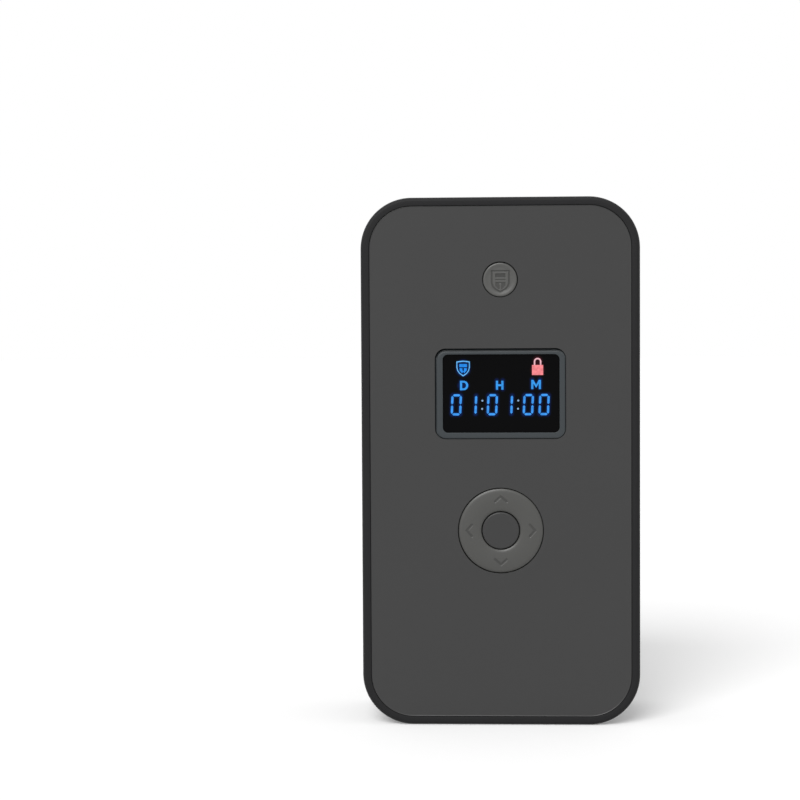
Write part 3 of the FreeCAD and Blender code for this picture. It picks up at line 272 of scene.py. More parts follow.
def add(tree, kind, inputs=None, **settings):
    """New shader node with these settings and inputs."""
    made = tree.nodes.new(kind)
    for key, value in settings.items():
        setattr(made, key, value)
    set_inputs(tree, made, inputs or {})
    return made


def maths(tree, operation, first, second=0.0, third=0.0):
    """Result socket of a maths step."""
    values = {0: first, 1: second, 2: third}
    return add(tree, "ShaderNodeMath", values, operation=operation).outputs[0]


def mix_colour(tree, factor, first, second, blend="MIX"):
    """Result socket of a colour mix."""
    values = {0: factor, 6: first, 7: second}
    return add(tree, "ShaderNodeMix", values, data_type="RGBA", blend_type=blend).outputs[2]


def shaded(tree, colour, shade):
    """Socket of a colour darkened or lightened by a shade, where 1 leaves it as it is."""
    grey = add(tree, "ShaderNodeCombineColor", {way: shade for way in ("Red", "Green", "Blue")})
    return mix_colour(tree, 1.0, colour, grey.outputs[0], "MULTIPLY")


def object_place(tree):
    """Socket of the place on the piece."""
    return add(tree, "ShaderNodeTexCoord").outputs["Object"]


def noise(tree, place, scale, detail, roughness=0.5):
    """Number socket of a noise, around a middle of one half."""
    return add(tree, "ShaderNodeTexNoise", {
        "Vector": place, "Scale": scale, "Detail": detail, "Roughness": roughness}).outputs["Fac"]


NUMBER = "NodeSocketFloat"
COLOUR = "NodeSocketColor"
BLACK, WHITE = (0, 0, 0, 1), (1, 1, 1, 1)
NOISE_MIDDLE = 0.5
LUMP_DETAIL, LUMP_ROUGHNESS = 3.0, 0.55
PIT_SHARE, SPECK_SHARE = 0.5, 0.35
MOTTLE_SCALE, MOTTLE_DETAIL = 24.0, 4.0
LINE_DETAIL, LINE_GLOSS = 2.0, 0.2
SEGMENT_SCALE, SEGMENT_DETAIL = 1100.0, 1.0


def new_group(name, grey, numbers):
    """Group that takes a colour and these numbers, and gives a colour, a roughness and a height.

    Returns it with its input sockets by name and its end node.
    """
    group = bpy.data.node_groups.new(name, "ShaderNodeTree")
    inputs = [("Colour", COLOUR, (grey, grey, grey, 1))]
    inputs += [(label, NUMBER, value) for label, value in numbers.items()]
    for label, kind, default in inputs:
        socket = group.interface.new_socket(label, in_out="INPUT", socket_type=kind)
        socket.default_value = default
    for label, kind in (("Colour", COLOUR), ("Roughness", NUMBER), ("Height", NUMBER)):
        group.interface.new_socket(label, in_out="OUTPUT", socket_type=kind)
    given = group.nodes.new("NodeGroupInput").outputs
    return group, given, group.nodes.new("NodeGroupOutput")


def moulded_skin():
    """Spark-eroded grain of a mould: fine lumps for the bump, a slow mottle of colour and gloss."""
    group, given, end = new_group("moulded_skin", 0.1, {
        "Grain Size": 0.1, "Mottle": 0.1, "Roughness": 0.5, "Roughness Change": 0.05})
    place = object_place(group)
    grain = maths(group, "MULTIPLY", given["Grain Size"], MM)
    fineness = maths(group, "DIVIDE", 1.0, grain)
    lumps = noise(group, place, fineness, LUMP_DETAIL, LUMP_ROUGHNESS)
    pits = add(group, "ShaderNodeTexVoronoi", {"Vector": place, "Scale": fineness})
    height = maths(group, "MULTIPLY_ADD", pits.outputs["Distance"], PIT_SHARE, lumps)
    slow = noise(group, place, MOTTLE_SCALE, MOTTLE_DETAIL)
    swing = maths(group, "SUBTRACT", slow, NOISE_MIDDLE)
    speck = maths(group, "MULTIPLY", maths(group, "SUBTRACT", lumps, NOISE_MIDDLE), SPECK_SHARE)
    both = maths(group, "ADD", swing, speck)
    shade = maths(group, "MULTIPLY_ADD", both, given["Mottle"], 1.0)
    rough = maths(group, "MULTIPLY_ADD", swing, given["Roughness Change"], given["Roughness"])
    set_inputs(group, end, {"Colour": shaded(group, given["Colour"], shade), "Roughness": rough,
                            "Height": height})
    return group


def brushed_lines():
    """Lines left by drawing or brushing: noise stretched along one direction of the piece."""
    group, given, end = new_group("brushed_lines", 0.5, {
        "Along X": 1.0, "Along Y": 1.0, "Along Z": 1.0, "Fineness": 6000.0, "Contrast": 0.2,
        "Roughness": 0.3})
    squeeze = add(group, "ShaderNodeCombineXYZ", {way: given["Along " + way] for way in "XYZ"})
    stretched = add(group, "ShaderNodeVectorMath",
                    {0: object_place(group), 1: squeeze.outputs[0]}, operation="MULTIPLY")
    lines = noise(group, stretched.outputs[0], given["Fineness"], LINE_DETAIL)
    swing = maths(group, "SUBTRACT", lines, NOISE_MIDDLE)
    shade = maths(group, "MULTIPLY_ADD", swing, given["Contrast"], 1.0)
    rough = maths(group, "MULTIPLY_ADD", swing, LINE_GLOSS, given["Roughness"])
    set_inputs(group, end, {"Colour": shaded(group, given["Colour"], shade), "Roughness": rough,
                            "Height": lines})
    return group


SKIN = moulded_skin()
LINES = brushed_lines()


def empty_tree(owner, output):
    """Emptied node tree of a material or world, and the surface socket of its new output."""
    owner.use_nodes = True
    tree = owner.node_tree
    tree.nodes.clear()
    return tree, add(tree, output).inputs["Surface"]


def plain_material(name):
    """New material; returns it, its tree and its Principled node."""
    material = bpy.data.materials.new(name)
    tree, surface = empty_tree(material, "ShaderNodeOutputMaterial")
    shader = add(tree, "ShaderNodeBsdfPrincipled")
    tree.links.new(shader.outputs[0], surface)
    return material, tree, shader


def place_group(tree, shader, group, depth, values):
    """Places a group: its colour and roughness feed the shader, its height a bump this deep."""
    node = add(tree, "ShaderNodeGroup", values, node_tree=group)
    bump = add(tree, "ShaderNodeBump", {"Distance": depth * MM, "Height": node.outputs["Height"]})
    set_inputs(tree, shader, {
        "Base Color": node.outputs["Colour"], "Roughness": node.outputs["Roughness"],
        "Normal": bump.outputs[0]})
    return node


def attribute(tree, name):
    """Number socket of a mark stored on the piece's points."""
    return add(tree, "ShaderNodeAttribute", attribute_name=name).outputs["Fac"]


def moulding(name, colour, roughness, grain, depth, mottle, shine, change=0.1, coat=0.0,
             cut_painted_shade=0.0):
    """Moulded plastic or rubber; where the piece has a cut, painted shade darkens its colour in the
    recess.
    """
    material, tree, shader = plain_material(name)
    skin = place_group(tree, shader, SKIN, depth, {
        "Colour": srgb(*colour), "Grain Size": grain, "Mottle": mottle,
        "Roughness": roughness, "Roughness Change": change})
    set_inputs(tree, shader, {"Specular IOR Level": shine, "Coat Weight": coat})
    if cut_painted_shade:
        # painted shade: the colour is darkened in proportion to the cut mark, standing for the
        # shade in the recess
        left = maths(tree, "MULTIPLY_ADD", attribute(tree, "cut"), -cut_painted_shade, 1.0)
        set_inputs(tree, shader, {"Base Color": shaded(tree, skin.outputs["Colour"], left)})
    return material


def metal(name, colour, roughness, along, fineness, contrast, depth):
    """Metal with brushed or turned lines; along holds how much each direction is squeezed."""
    material, tree, shader = plain_material(name)
    place_group(tree, shader, LINES, depth, {
        "Colour": srgb(*colour), "Along X": along[0], "Along Y": along[1], "Along Z": along[2],
        "Fineness": fineness, "Contrast": contrast, "Roughness": roughness})
    set_inputs(tree, shader, {"Metallic": 1.0})
    return material


def lit_segment(name, colour):
    """Lit segment: it glows in one colour, a little unevenly."""
    material, tree, shader = plain_material(name)
    slow = noise(tree, object_place(tree), SEGMENT_SCALE, SEGMENT_DETAIL)
    shade = add(tree, "ShaderNodeMapRange", {"Value": slow, "From Min": 0.3, "From Max": 0.7,
                                             "To Min": 0.82, "To Max": 1.1})
    set_inputs(tree, shader, {
        "Emission Color": shaded(tree, srgb(*colour), shade.outputs[0]),
        "Emission Strength": 1.0, "Base Color": BLACK, "Specular IOR Level": 0.0,
        "Roughness": 0.4})
    return material


def glowing_window():
    """Glossy black window; the light of the lit segments bleeds into it where its marks say so."""
    material = moulding("window_black", (3, 3, 4), 0.09, grain=0.8, depth=0.0003, mottle=0.12,
                        shine=0.05, change=0.03)
    tree = material.node_tree
    shader = next(node for node in tree.nodes if node.type == "BSDF_PRINCIPLED")
    blue = mix_colour(tree, attribute(tree, "blue_glow"), BLACK, srgb(5, 24, 70))
    red = mix_colour(tree, attribute(tree, "red_glow"), BLACK, srgb(44, 12, 18))
    set_inputs(tree, shader, {"Emission Color": mix_colour(tree, 1.0, blue, red, "ADD"),
                              "Emission Strength": 1.0})
    return material


# name: colour, roughness, grain size, grain depth, mottle, shine
MOULDED = {
    "shell_black": ((27, 27, 28), 0.6, 0.22, 0.014, 0.1, 0.19),
    "plate_grey": ((57, 57, 57), 0.34, 0.09, 0.002, 0.04, 0.3),
    "bezel_slate": ((55, 60, 63), 0.36, 0.09, 0.002, 0.05, 0.3),
    "key_grey": ((73, 73, 71), 0.38, 0.1, 0.003, 0.06, 0.4),
    "centre_grey": ((54, 54, 54), 0.42, 0.1, 0.003, 0.06, 0.3),
    "display_black": ((10, 10, 11), 0.1, 0.6, 0.0004, 0.12, 0.1),
    "display_frame": ((225, 226, 222), 0.5, 0.12, 0.008, 0.12, 0.5),
    "inner_black": ((34, 34, 35), 0.5, 0.16, 0.008, 0.12, 0.5),
    "board_green": ((16, 84, 52), 0.3, 0.3, 0.004, 0.3, 0.5),
    "chip_black": ((28, 28, 30), 0.5, 0.08, 0.004, 0.12, 0.5),
    "connector_white": ((224, 220, 206), 0.45, 0.12, 0.008, 0.12, 0.5),
    "lead_red": ((176, 30, 26), 0.42, 0.2, 0.004, 0.12, 0.5),
    "acetal": ((232, 230, 222), 0.4, 0.3, 0.004, 0.12, 0.5),
    "rubber_black": ((30, 30, 31), 0.75, 0.25, 0.02, 0.12, 0.3),
    "mat_rubber": ((51, 52, 55), 0.8, 0.3, 0.02, 0.12, 0.3),
}
# key_grey darkens the cut arrows of the ring key with painted shade in their recesses
MORE = {"key_grey": {"cut_painted_shade": 0.5}, "board_green": {"coat": 0.4}}
# name: colour, roughness, squeeze along x, y and z, fineness, contrast, depth
METALS = {
    "battery_foil": ((176, 178, 182), 0.34, (1, 1, 1), 1400.0, 0.12, 0.02),
    "steel": ((176, 178, 180), 0.32, (0.03, 1, 1), 6000.0, 0.2, 0.002),
    "screw_steel": ((150, 152, 155), 0.36, (1, 1, 1), 3000.0, 0.2, 0.002),
    "port_steel": ((186, 187, 189), 0.28, (1, 1, 0.04), 6000.0, 0.2, 0.002),
    "brass": ((196, 158, 84), 0.3, (0.05, 1, 1), 6000.0, 0.2, 0.002),
}
FINISHES = {name: moulding(name, *row, **MORE.get(name, {})) for name, row in MOULDED.items()}
FINISHES.update({name: metal(name, *row) for name, row in METALS.items()})
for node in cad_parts.values():
    for number, old in enumerate(node.data.materials):
        node.data.materials[number] = FINISHES[old.name.split(".")[0]]


# ---- keys

CAP_BACK = back_of("mode_cap")
# width and fall of the rounded edge; how far the cap covers its seam; its place off the middle
CAP_EDGE = {"mode_cap": (0.5, 0.24), "pad_cap": (1.2, 0.36)}
CAP_COVER = {"mode_cap": -0.1, "pad_cap": 0.06}
CAP_SHIFT = {"mode_cap": (0.0, -0.13), "pad_cap": (0.06, -0.04)}
EDGE_ROWS = 11
MODE_COLUMNS = 384
MODE_FIRST, MODE_SIGN, MODE_FINE, MODE_COARSE = 0.05, 4.9, 0.055, 0.1
DISH, DISH_FROM, DISH_TO = 0.2, 1.9, 0.4
CROWN = 0.26
PAD_BORE = 6.91
PAD_FINE, PAD_COARSE = 0.08, 0.3
TURN_FINE, TURN_COARSE = 0.0085, 0.035
ARROW = [(-2.05, 10.45), (0, 12.25), (2.05, 10.45)]
# ARROW_SHARE weights the cut mark, which sets both the depth of the arrows and their painted shade
ARROW_WIDTH, ARROW_SOFT, ARROW_SHARE, ARROW_DEPTH = 0.85, 0.14, 0.7, 0.16
ARROW_TURN, ARROW_INNER, ARROW_OUTER = 0.27, 9.6, 13.1
# the shield on the mode key, drawn round the middle of its cap
SHIELD_DEPTH, SHIELD_ACROSS, SHIELD_SOFT = 0.2, 0.15, 0.06
SHIELD_SIDE = [(-3.08, 3.1), (-3.08, -1.1), (-2.7, -2.4), (-1.8, -3.4), (0, -4.4)]
SHIELD_LINE, SHIELD_HALF = 0.56, 1.75
BAR_HEIGHT, BAR_HALF = 1.5, 0.68
RULE, RULE_LINE = [(-1.7, 0.0), (1.7, 0.0)], 0.34
BLOCK_HEIGHT, BLOCK_HALF = -2.15, 1.25
TAPER_FROM, TAPER_RATE = -2.2, 0.9
KEYHOLE_HEIGHT, KEYHOLE_EYE = -1.75, (0.4, 0.56)
KEYHOLE_SLOT, SLOT_LINE = [(0, -1.9), (0, -3.4)], 0.62
# these shares weight the cut mark of each stroke, which sets both its depth and its painted shade
BORDER_SHARE, RULE_SHARE, BLOCK_SHARE = 0.85, 0.7, 0.8


def arrows_cut(across, height):
    """Four arrow heads round the ring key, each a bent line that points away from the middle."""
    cuts = []
    for turn in range(4):
        angle = turn * math.pi / 2
        side = across * math.cos(angle) - height * math.sin(angle)
        out = across * math.sin(angle) + height * math.cos(angle)
        cuts.append(polyline(side, out, ARROW, ARROW_WIDTH, ARROW_SOFT))
    return ARROW_SHARE * np.maximum.reduce(cuts)


def within(past):
    """1 where a distance past an edge is below zero, falling to 0 over the shield's soft edge."""
    return 1 - smoothstep(-SHIELD_SOFT, SHIELD_SOFT, past)


def shield_cut(across, height):
    """Shield outline with a bar, a thin rule and a block with a keyhole inside it."""
    across = across - SHIELD_ACROSS
    outline = SHIELD_SIDE + [(-x, z) for x, z in SHIELD_SIDE[-2::-1]] + [SHIELD_SIDE[0]]
    border = polyline(across, height, outline, SHIELD_LINE)
    bar = within(np.maximum(np.abs(across) - SHIELD_HALF, np.abs(height - BAR_HEIGHT) - BAR_HALF))
    rule = polyline(across, height, RULE, RULE_LINE)
    taper = np.abs(across) + np.maximum(TAPER_FROM - height, 0) * TAPER_RATE - SHIELD_HALF
    block = within(np.maximum(taper, np.abs(height - BLOCK_HEIGHT) - BLOCK_HALF))
    eye = 1 - smoothstep(*KEYHOLE_EYE, np.hypot(across, height - KEYHOLE_HEIGHT))
    keyhole = np.maximum(eye, polyline(across, height, KEYHOLE_SLOT, SLOT_LINE))
    return np.maximum.reduce([BORDER_SHARE * border, bar, RULE_SHARE * rule,
                              BLOCK_SHARE * block * (1 - keyhole)])


def cap_radius(node):
    """Outer radius of a cap, a little wider or narrower to give the seam round it its width."""
    return half_size(node)[0] + CAP_COVER[node]


def cap_radii(outer, inner, edge, fine):
    """Radii of a cap's rows: equal turns round its edges and the given runs between."""
    bend = edge * np.sin(np.linspace(0, math.pi / 2, EDGE_ROWS))
    rim = outer - edge + bend
    if inner is None:
        return np.r_[spread(*fine)[:-1], rim]
    return np.r_[inner + edge - bend[::-1], spread(*fine)[1:-1], rim]


def cap_surface(node, radii, angles, cut, depth, inner=None):
    """Round cap: a grid of radius by angle whose level rounds off at its edges.

    The level is the front, less its bow, less the cut's depth. A ring bows up between its edges
    as a parabola; a disc is dished, rising smoothly towards its rim. Near an edge the level drops
    as an ellipse wider than high. The outer wall runs down to the cap's back, which is closed by a
    pole or by the wall of the bore. The cap sits a little off the middle of its hole: a disc as a
    whole, a ring the more the nearer to its outer edge.
    """
    outer = cap_radius(node)
    edge, fall = CAP_EDGE[node]
    shift = np.array(CAP_SHIFT[node])
    middle = centre_of(node) + (shift if inner is None else 0)
    radius = np.asarray(radii)[:, None]
    angle = np.asarray(angles)[None, :]
    across, height = radius * np.sin(angle), radius * np.cos(angle)
    into = np.clip(radius - (outer - edge), 0, edge)
    if inner is None:
        bow = DISH * (1 - smoothstep(outer - DISH_FROM, outer - DISH_TO, radius))
        lean = 0 * radius
    else:
        into = into + np.clip(inner + edge - radius, 0, edge)
        bow = CROWN * ((2 * radius - inner - outer) / (outer - inner)) ** 2
        lean = (radius - inner) / (outer - inner)
    drop = fall * (1 - np.sqrt(np.maximum(1 - (into / edge) ** 2, 0)))
    marks = cut(across, height)
    level = front_of(node) - drop - bow - depth * marks
    top = front_points(middle[0] + across + lean * shift[0], level,
                       middle[1] + height + lean * shift[1])
    bore, wall = top[:1].copy(), top[-1:].copy()
    bore[..., 1] = wall[..., 1] = -CAP_BACK
    none = np.zeros_like(marks[:1])
    if inner is not None:
        points = np.concatenate([bore, top, wall])
        return points, closed_tube(points), np.concatenate([none, marks, none])
    points, faces = closed_turn(np.concatenate([top, wall]), top[0].mean(axis=0),
                                [middle[0], -CAP_BACK, middle[1]])
    return points, faces, np.r_[marks.ravel(), none.ravel(), marks[0].mean(), 0]


def round_key(name, node, body, surface, material=None):
    """Cap with its sign cut in, in place of the plain one."""
    points, faces, marks = surface
    # the cut mark is stored for the material, which paints shade into the recesses with it
    piece = new_piece(name, points, faces, body, "key_grey", material, marks={"cut": marks})
    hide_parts(node)


def mode_cap():
    """Cap of the round key above the display, a little paler than the ring."""
    outer, edge = cap_radius("mode_cap"), CAP_EDGE["mode_cap"][0]
    radii = cap_radii(outer, None, edge, [(MODE_FIRST, MODE_SIGN, MODE_FINE),
                                          (MODE_SIGN, outer - edge, MODE_COARSE)])
    # the shield cut into this cap is darkened with painted shade in its recesses
    pale = moulding("mode_key_grey", (79, 79, 77), 0.34, grain=0.1, depth=0.003, mottle=0.06,
                    shine=0.45, cut_painted_shade=0.56)
    round_key("mode_cap_shield", "mode_cap", "mode_button",
              cap_surface("mode_cap", radii, turn_steps(MODE_COLUMNS), shield_cut, SHIELD_DEPTH),
              pale)


def pad_cap():
    """Cap of the ring key: its columns crowd near the four arrow heads."""
    outer, edge = cap_radius("pad_cap"), CAP_EDGE["pad_cap"][0]
    quarter = math.pi / 2
    angles = np.concatenate([
        spread((k * quarter - ARROW_TURN, k * quarter + ARROW_TURN, TURN_FINE),
               (k * quarter + ARROW_TURN, (k + 1) * quarter - ARROW_TURN, TURN_COARSE))[:-1]
        for k in range(4)])
    radii = cap_radii(outer, PAD_BORE, edge, [(PAD_BORE + edge, ARROW_INNER, PAD_COARSE),
                                              (ARROW_INNER, ARROW_OUTER, PAD_FINE),
                                              (ARROW_OUTER, outer - edge, PAD_COARSE)])
    round_key("pad_cap_arrows", "pad_cap", "direction_pad",
              cap_surface("pad_cap", radii, angles, arrows_cut, ARROW_DEPTH, PAD_BORE))


mode_cap()
pad_cap()


# ---- display

DISPLAY = centre_of("display_window")
PLATE_FRONT = front_of("face_plate")
WINDOW_FRONT = front_of("display_window")
BEZEL_CORNER, OPENING_CORNER, LENS_CORNER = 3.7, 1.9, 1.95
OPENING = (20.9, 14.05)
OPENING_SHIFT = np.array([0.26, 0.08])
SIDE_POINTS = 10
# the foot of the raised part: inset from the outside, smaller corner, place off the middle
FOOT_INSET, FOOT_CORNER_LESS, FOOT_SHIFT = (0.5, 0.62), 0.55, [0.2, -0.36]
# the groove: its depth and how much that changes towards one side; shares that give its end
GROOVE_DEPTH, GROOVE_CHANGE, GROOVE_TOWARDS = 0.7, 0.65, [-0.6, 0.8]
GROOVE_RANGE, GROOVE_END = (0.15, 1.25), (0.1, 0.9)
BEZEL_LOWERED = 0.12
BEND_SHARE, BEND_RISE, BEND_POINTS = 0.5, 0.11, 9
LIP_SHARE, LIP_DROP = 0.07, 0.1


def rounded_path(half_width, half_height, corner, steps=16):
    """Points round a rounded rectangle, and the outward direction at each.

    Each quarter turn is followed by its straight side, divided evenly.
    """
    turn = np.linspace(0, math.pi / 2, steps)[None, :] + np.arange(4)[:, None] * math.pi / 2
    out = np.stack([np.cos(turn), np.sin(turn)], axis=-1)
    signs = np.array([(1, 1), (-1, 1), (-1, -1), (1, -1)])
    middles = signs * [half_width - corner, half_height - corner]
    bends = middles[:, None] + corner * out
    share = np.linspace(0, 1, SIDE_POINTS)[1:-1][None, :, None]
    sides = bends[:, -1:] * (1 - share) + np.roll(bends, -1, axis=0)[:, :1] * share
    across = np.broadcast_to(out[:, -1:], sides.shape)
    return (np.concatenate([bends, sides], axis=1).reshape(-1, 2),
            np.concatenate([out, across], axis=1).reshape(-1, 2))


def bezel():
    """Frame round the window, behind a groove that is wider and deeper above and at the left.

    Its section is carried along three rounded rectangles: the outside, the foot of the raised
    part and the opening. The groove runs level to that foot, as deep as its side faces up and
    left; a short wall climbs from it, turns over a quarter round to the crest, runs level and
    drops over a smaller round to the window.
    """
    size = half_size("display_bezel")
    outer, out = rounded_path(*size, BEZEL_CORNER)
    raised = rounded_path(*(size - FOOT_INSET), BEZEL_CORNER - FOOT_CORNER_LESS)[0] + FOOT_SHIFT
    inner = rounded_path(*OPENING, OPENING_CORNER)[0] + OPENING_SHIFT
    back, front = back_of("display_bezel"), front_of("display_bezel") - BEZEL_LOWERED
    turn = np.linspace(0, math.pi / 2, BEND_POINTS)
    foot = PLATE_FRONT - np.clip(GROOVE_DEPTH + GROOVE_CHANGE * (out @ GROOVE_TOWARDS),
                                 *GROOVE_RANGE)
    share = np.r_[0, BEND_SHARE * (1 - np.cos(turn)), 1 - LIP_SHARE + np.sin(turn) * LIP_SHARE, 1]
    share = share[:, None, None]
    crest = np.r_[front - BEND_RISE * (1 - np.sin(turn)), front - LIP_DROP * (1 - np.cos(turn)),
                  back]
    level = np.concatenate([[0 * foot + back], [foot] * 3, 0 * foot + crest[:, None]])
    groove_end = outer * GROOVE_END[0] + raised * GROOVE_END[1]
    path = np.concatenate([[outer, outer, groove_end], raised * (1 - share) + inner * share])
    points = front_points(DISPLAY[0] + path[..., 0], level, DISPLAY[1] + path[..., 1])
    piece = new_piece("display_bezel_rolled", points, closed_tube(points), "lid", "bezel_slate")
    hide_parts("display_bezel")


GLYPH_LEVEL = WINDOW_FRONT + 0.02
GLYPH_BODY = 0.03
DIGIT_HALF, DIGIT_TALL = 1.5, 3.42
DIGIT_LEAN = math.tan(math.radians(2.5))
DIGIT_HEIGHT = -3.95
BAR, BAR_GAP, BAR_POINT = 0.82, 0.2, 0.12
# bars by their ends: the top, the left and right sides above and below, the bottom
BARS = [((-1, 1), (1, 1)), ((-1, 1), (-1, 0)), ((1, 1), (1, 0)), ((-1, 0), (-1, -1)),
        ((1, 0), (1, -1)), ((-1, -1), (1, -1))]
DIGITS = {0: BARS, 1: [BARS[2], BARS[4]]}
CLOCK = ((0, -15.8), (1, -10.3), (0, -2.9), (1, 2.55), (0, 10.0), (0, 15.65))
COLONS, COLON_HALF, COLON_RADIUS = (-6.5, 6.35), 1.47, 0.34
DOT_STEPS, DOT_CORE = 24, 0.01
# letters: the stem and round of the first, then bars as (x0, z0, x1, z1) and pairs of edges
LETTER, THIN, LETTER_POINTS = 0.76, 0.9 * 0.76, 17
DAY_LEFT, DAY_MIDDLE, DAY_STRAIGHT, DAY_HALF = -14.45, 3.0, 1.25, 1.7
HOUR_STEMS = [(-1.2, 1.45, -1.2, 4.65), (0.75, 1.45, 0.75, 4.65)]
HOUR_CROSS = (-0.82, 3.05, 0.37, 3.05)
MINUTE_STEMS = [(11.45, 1.6, 11.45, 4.9), (14.15, 1.6, 14.15, 4.9)]
MINUTE_SLANTS = [([[11.83, 4.9], [12.8, 3.2]], [[11.83, 3.6], [12.8, 2.1]]),
                 ([[12.8, 3.2], [13.77, 4.9]], [[12.8, 2.1], [13.77, 3.6]])]
# the small shield: half of its edge, its bar as a stroke, the two edges of its right wing
SIGN = np.array([-13.3, 9.15])
EDGE = np.array([(0, 2.85), (2.0, 2.66), (2.5, 2.5), (2.5, 0.4), (2.2, -0.9), (1.4, -2.0),
                 (0, -3.0)])
EDGE_OUTER, EDGE_INNER = 0.97, 0.82
SIGN_BAR = (-1.4, 1.0, 1.4, 1.0, 1.15)
WING_OUTER = np.array([(1.3, 0.05), (1.25, -0.8), (0.35, -1.8)])
WING_INNER = np.array([(0.25, 0.05), (0.3, -0.6), (0, -1.1)])
PADLOCK = np.array([13.35, 8.45])
PADLOCK_BAR = (-2.0, 0, 2.0, 0, 3.6)
BOW_FOOT, BOW_LEG, BOW_OUTER, BOW_INNER, BOW_POINTS = 1.8, 1.2, 1.35, 0.82, 25
# glow: how far it reaches, and strokes as (x0, z0, x1, z1, half width)
FAR, GLOW_REACH = 99.0, 0.42
LETTER_GLOW = [
    (-14.1, 1.6, -14.1, 4.4, 0.38), (-13.9, 3.0, -12.6, 3.0, 1.05), (-1.25, 1.7, -1.25, 4.7, 0.38),
    (0.85, 1.7, 0.85, 4.7, 0.38), (-1.0, 3.2, 0.6, 3.2, 0.38), (11.4, 2.0, 11.4, 5.0, 0.38),
    (14.2, 2.0, 14.2, 5.0, 0.38), (11.4, 5.0, 12.8, 2.6, 0.38), (12.8, 2.6, 14.2, 5.0, 0.38)]
SIGN_GLOW = (0, 0.6, 0, -0.4, 2.2)
PADLOCK_GLOW = [(-0.4, 0, 0.4, 0, 1.75), (0, 2.4, 0, 3.3, 1.4)]
LENS_OVER, LENS_COLUMNS, LENS_STEP = 0.05, 201, 0.2


def slab(left, right, closed=False):
    """Flat band with a thin body between two edges, given as matching points from the front."""
    left, right = np.asarray(left, float), np.asarray(right, float)
    edges = np.stack([left, right, right, left])
    levels = GLYPH_LEVEL + np.array([GLYPH_BODY, GLYPH_BODY, 0, 0])[:, None]
    points = front_points(DISPLAY[0] + edges[..., 0], levels, DISPLAY[1] + edges[..., 1])
    columns = points.shape[1]
    faces = [grid_faces(4, columns, closed_rows=True, closed_columns=closed)]
    if not closed:
        start = np.arange(4) * columns
        faces += [start[None], (start + columns - 1)[None, ::-1]]
    return points, faces


def sided(start, end):
    """Start, end, direction and left-hand direction of a stroke."""
    start, end = np.array(start, float), np.array(end, float)
    along = (end - start) / np.linalg.norm(end - start)
    return start, end, along, np.array([-along[1], along[0]])


def pointed_bar(start, end, width):
    """Lit bar whose ends narrow to a point over half its width."""
    start, end, along, side = sided(start, end)
    spine = np.array([start, start + along * width / 2, end - along * width / 2, end])
    reach = np.array([BAR_POINT, 1, 1, BAR_POINT])[:, None] * side * width / 2
    return slab(spine + reach, spine - reach)


def square_bar(x0, z0, x1, z1, width):
    """Lit bar with square ends."""
    start, end, _, side = sided((x0, z0), (x1, z1))
    spine = np.array([start, end])
    return slab(spine + side * width / 2, spine - side * width / 2)


def moved(stroke, place):
    """Stroke drawn round a middle, moved to its place on the display."""
    x0, z0, x1, z1, width = stroke
    return x0 + place[0], z0 + place[1], x1 + place[0], z1 + place[1], width


def dot(x, z, radius):
    """Round lit dot: a closed band round its middle."""
    turn = turn_steps(DOT_STEPS)
    edge = np.stack([np.cos(turn), np.sin(turn)], axis=-1)
    middle = np.array([x, z])
    return slab(middle + edge * DOT_CORE, middle + edge * radius, closed=True)


def lit(name, shapes, label, colour):
    """One lit piece on the window, in a material of its own."""
    points, faces = joined(shapes)
    new_piece(name, points, faces, "lid", "display_black", lit_segment(label, colour),
              smooth=False)


def digit_lines():
    """Middle lines of every lit bar of the clock, leaning a little, as (start, end)."""
    lines = []
    for value, middle in CLOCK:
        for bar in DIGITS[value]:
            start, end = (np.array([middle + side * DIGIT_HALF + high * DIGIT_TALL * DIGIT_LEAN,
                                    DIGIT_HEIGHT + high * DIGIT_TALL]) for side, high in bar)
            gap = sided(start, end)[2] * BAR_GAP
            lines.append((start + gap, end - gap))
    return lines


def clock():
    """Two digits each for days, hours and minutes, with a colon between the pairs."""
    lit("clock_digits", [pointed_bar(start, end, BAR) for start, end in digit_lines()],
        "digit_glow", (68, 158, 248))
    dots = [dot(x + side * DIGIT_LEAN, DIGIT_HEIGHT + side * COLON_HALF, COLON_RADIUS)
            for x in COLONS for side in (1, -1)]
    lit("clock_colons", dots, "colon_glow", (150, 182, 218))


def half_round(x, z, reach, rise, start):
    """Edge of a letter's half round on the right of x, with its two straight ends."""
    turn = np.linspace(-math.pi / 2, math.pi / 2, LETTER_POINTS)
    arc = np.stack([x + reach * np.cos(turn), z + rise * np.sin(turn)], axis=-1)
    return np.concatenate([[[start, z - rise]], arc, [[start, z + rise]]])


def unit_letters():
    """Letters over the digit pairs for days, hours and minutes: bars and one half round."""
    stem, straight, start = DAY_LEFT + LETTER / 2, DAY_LEFT + DAY_STRAIGHT, DAY_LEFT + LETTER
    day = [square_bar(stem, DAY_MIDDLE - DAY_HALF, stem, DAY_MIDDLE + DAY_HALF, LETTER),
           slab(half_round(straight, DAY_MIDDLE, DAY_HALF - LETTER, DAY_HALF - THIN, start),
                half_round(straight, DAY_MIDDLE, DAY_HALF, DAY_HALF, start))]
    hour = [square_bar(*line, LETTER) for line in HOUR_STEMS] + [square_bar(*HOUR_CROSS, THIN)]
    minute = [square_bar(*line, LETTER) for line in MINUTE_STEMS]
    minute += [slab(upper, lower) for upper, lower in MINUTE_SLANTS]
    lit("unit_letters", day + hour + minute, "letter_glow", (62, 160, 246))


def shield_edge(scale):
    """Closed edge of the small shield, round its middle."""
    return SIGN + np.concatenate([EDGE, EDGE[-2:0:-1] * [-1, 1]]) * scale


def padlock_bow(radius):
    """Edge of the shackle: two legs joined by a half round."""
    turn = np.linspace(0, math.pi, BOW_POINTS)
    x, foot = PADLOCK[0], PADLOCK[1] + BOW_FOOT
    arc = np.stack([x - radius * np.cos(turn), foot + BOW_LEG + radius * np.sin(turn)], axis=-1)
    return np.concatenate([[[x - radius, foot]], arc, [[x + radius, foot]]])


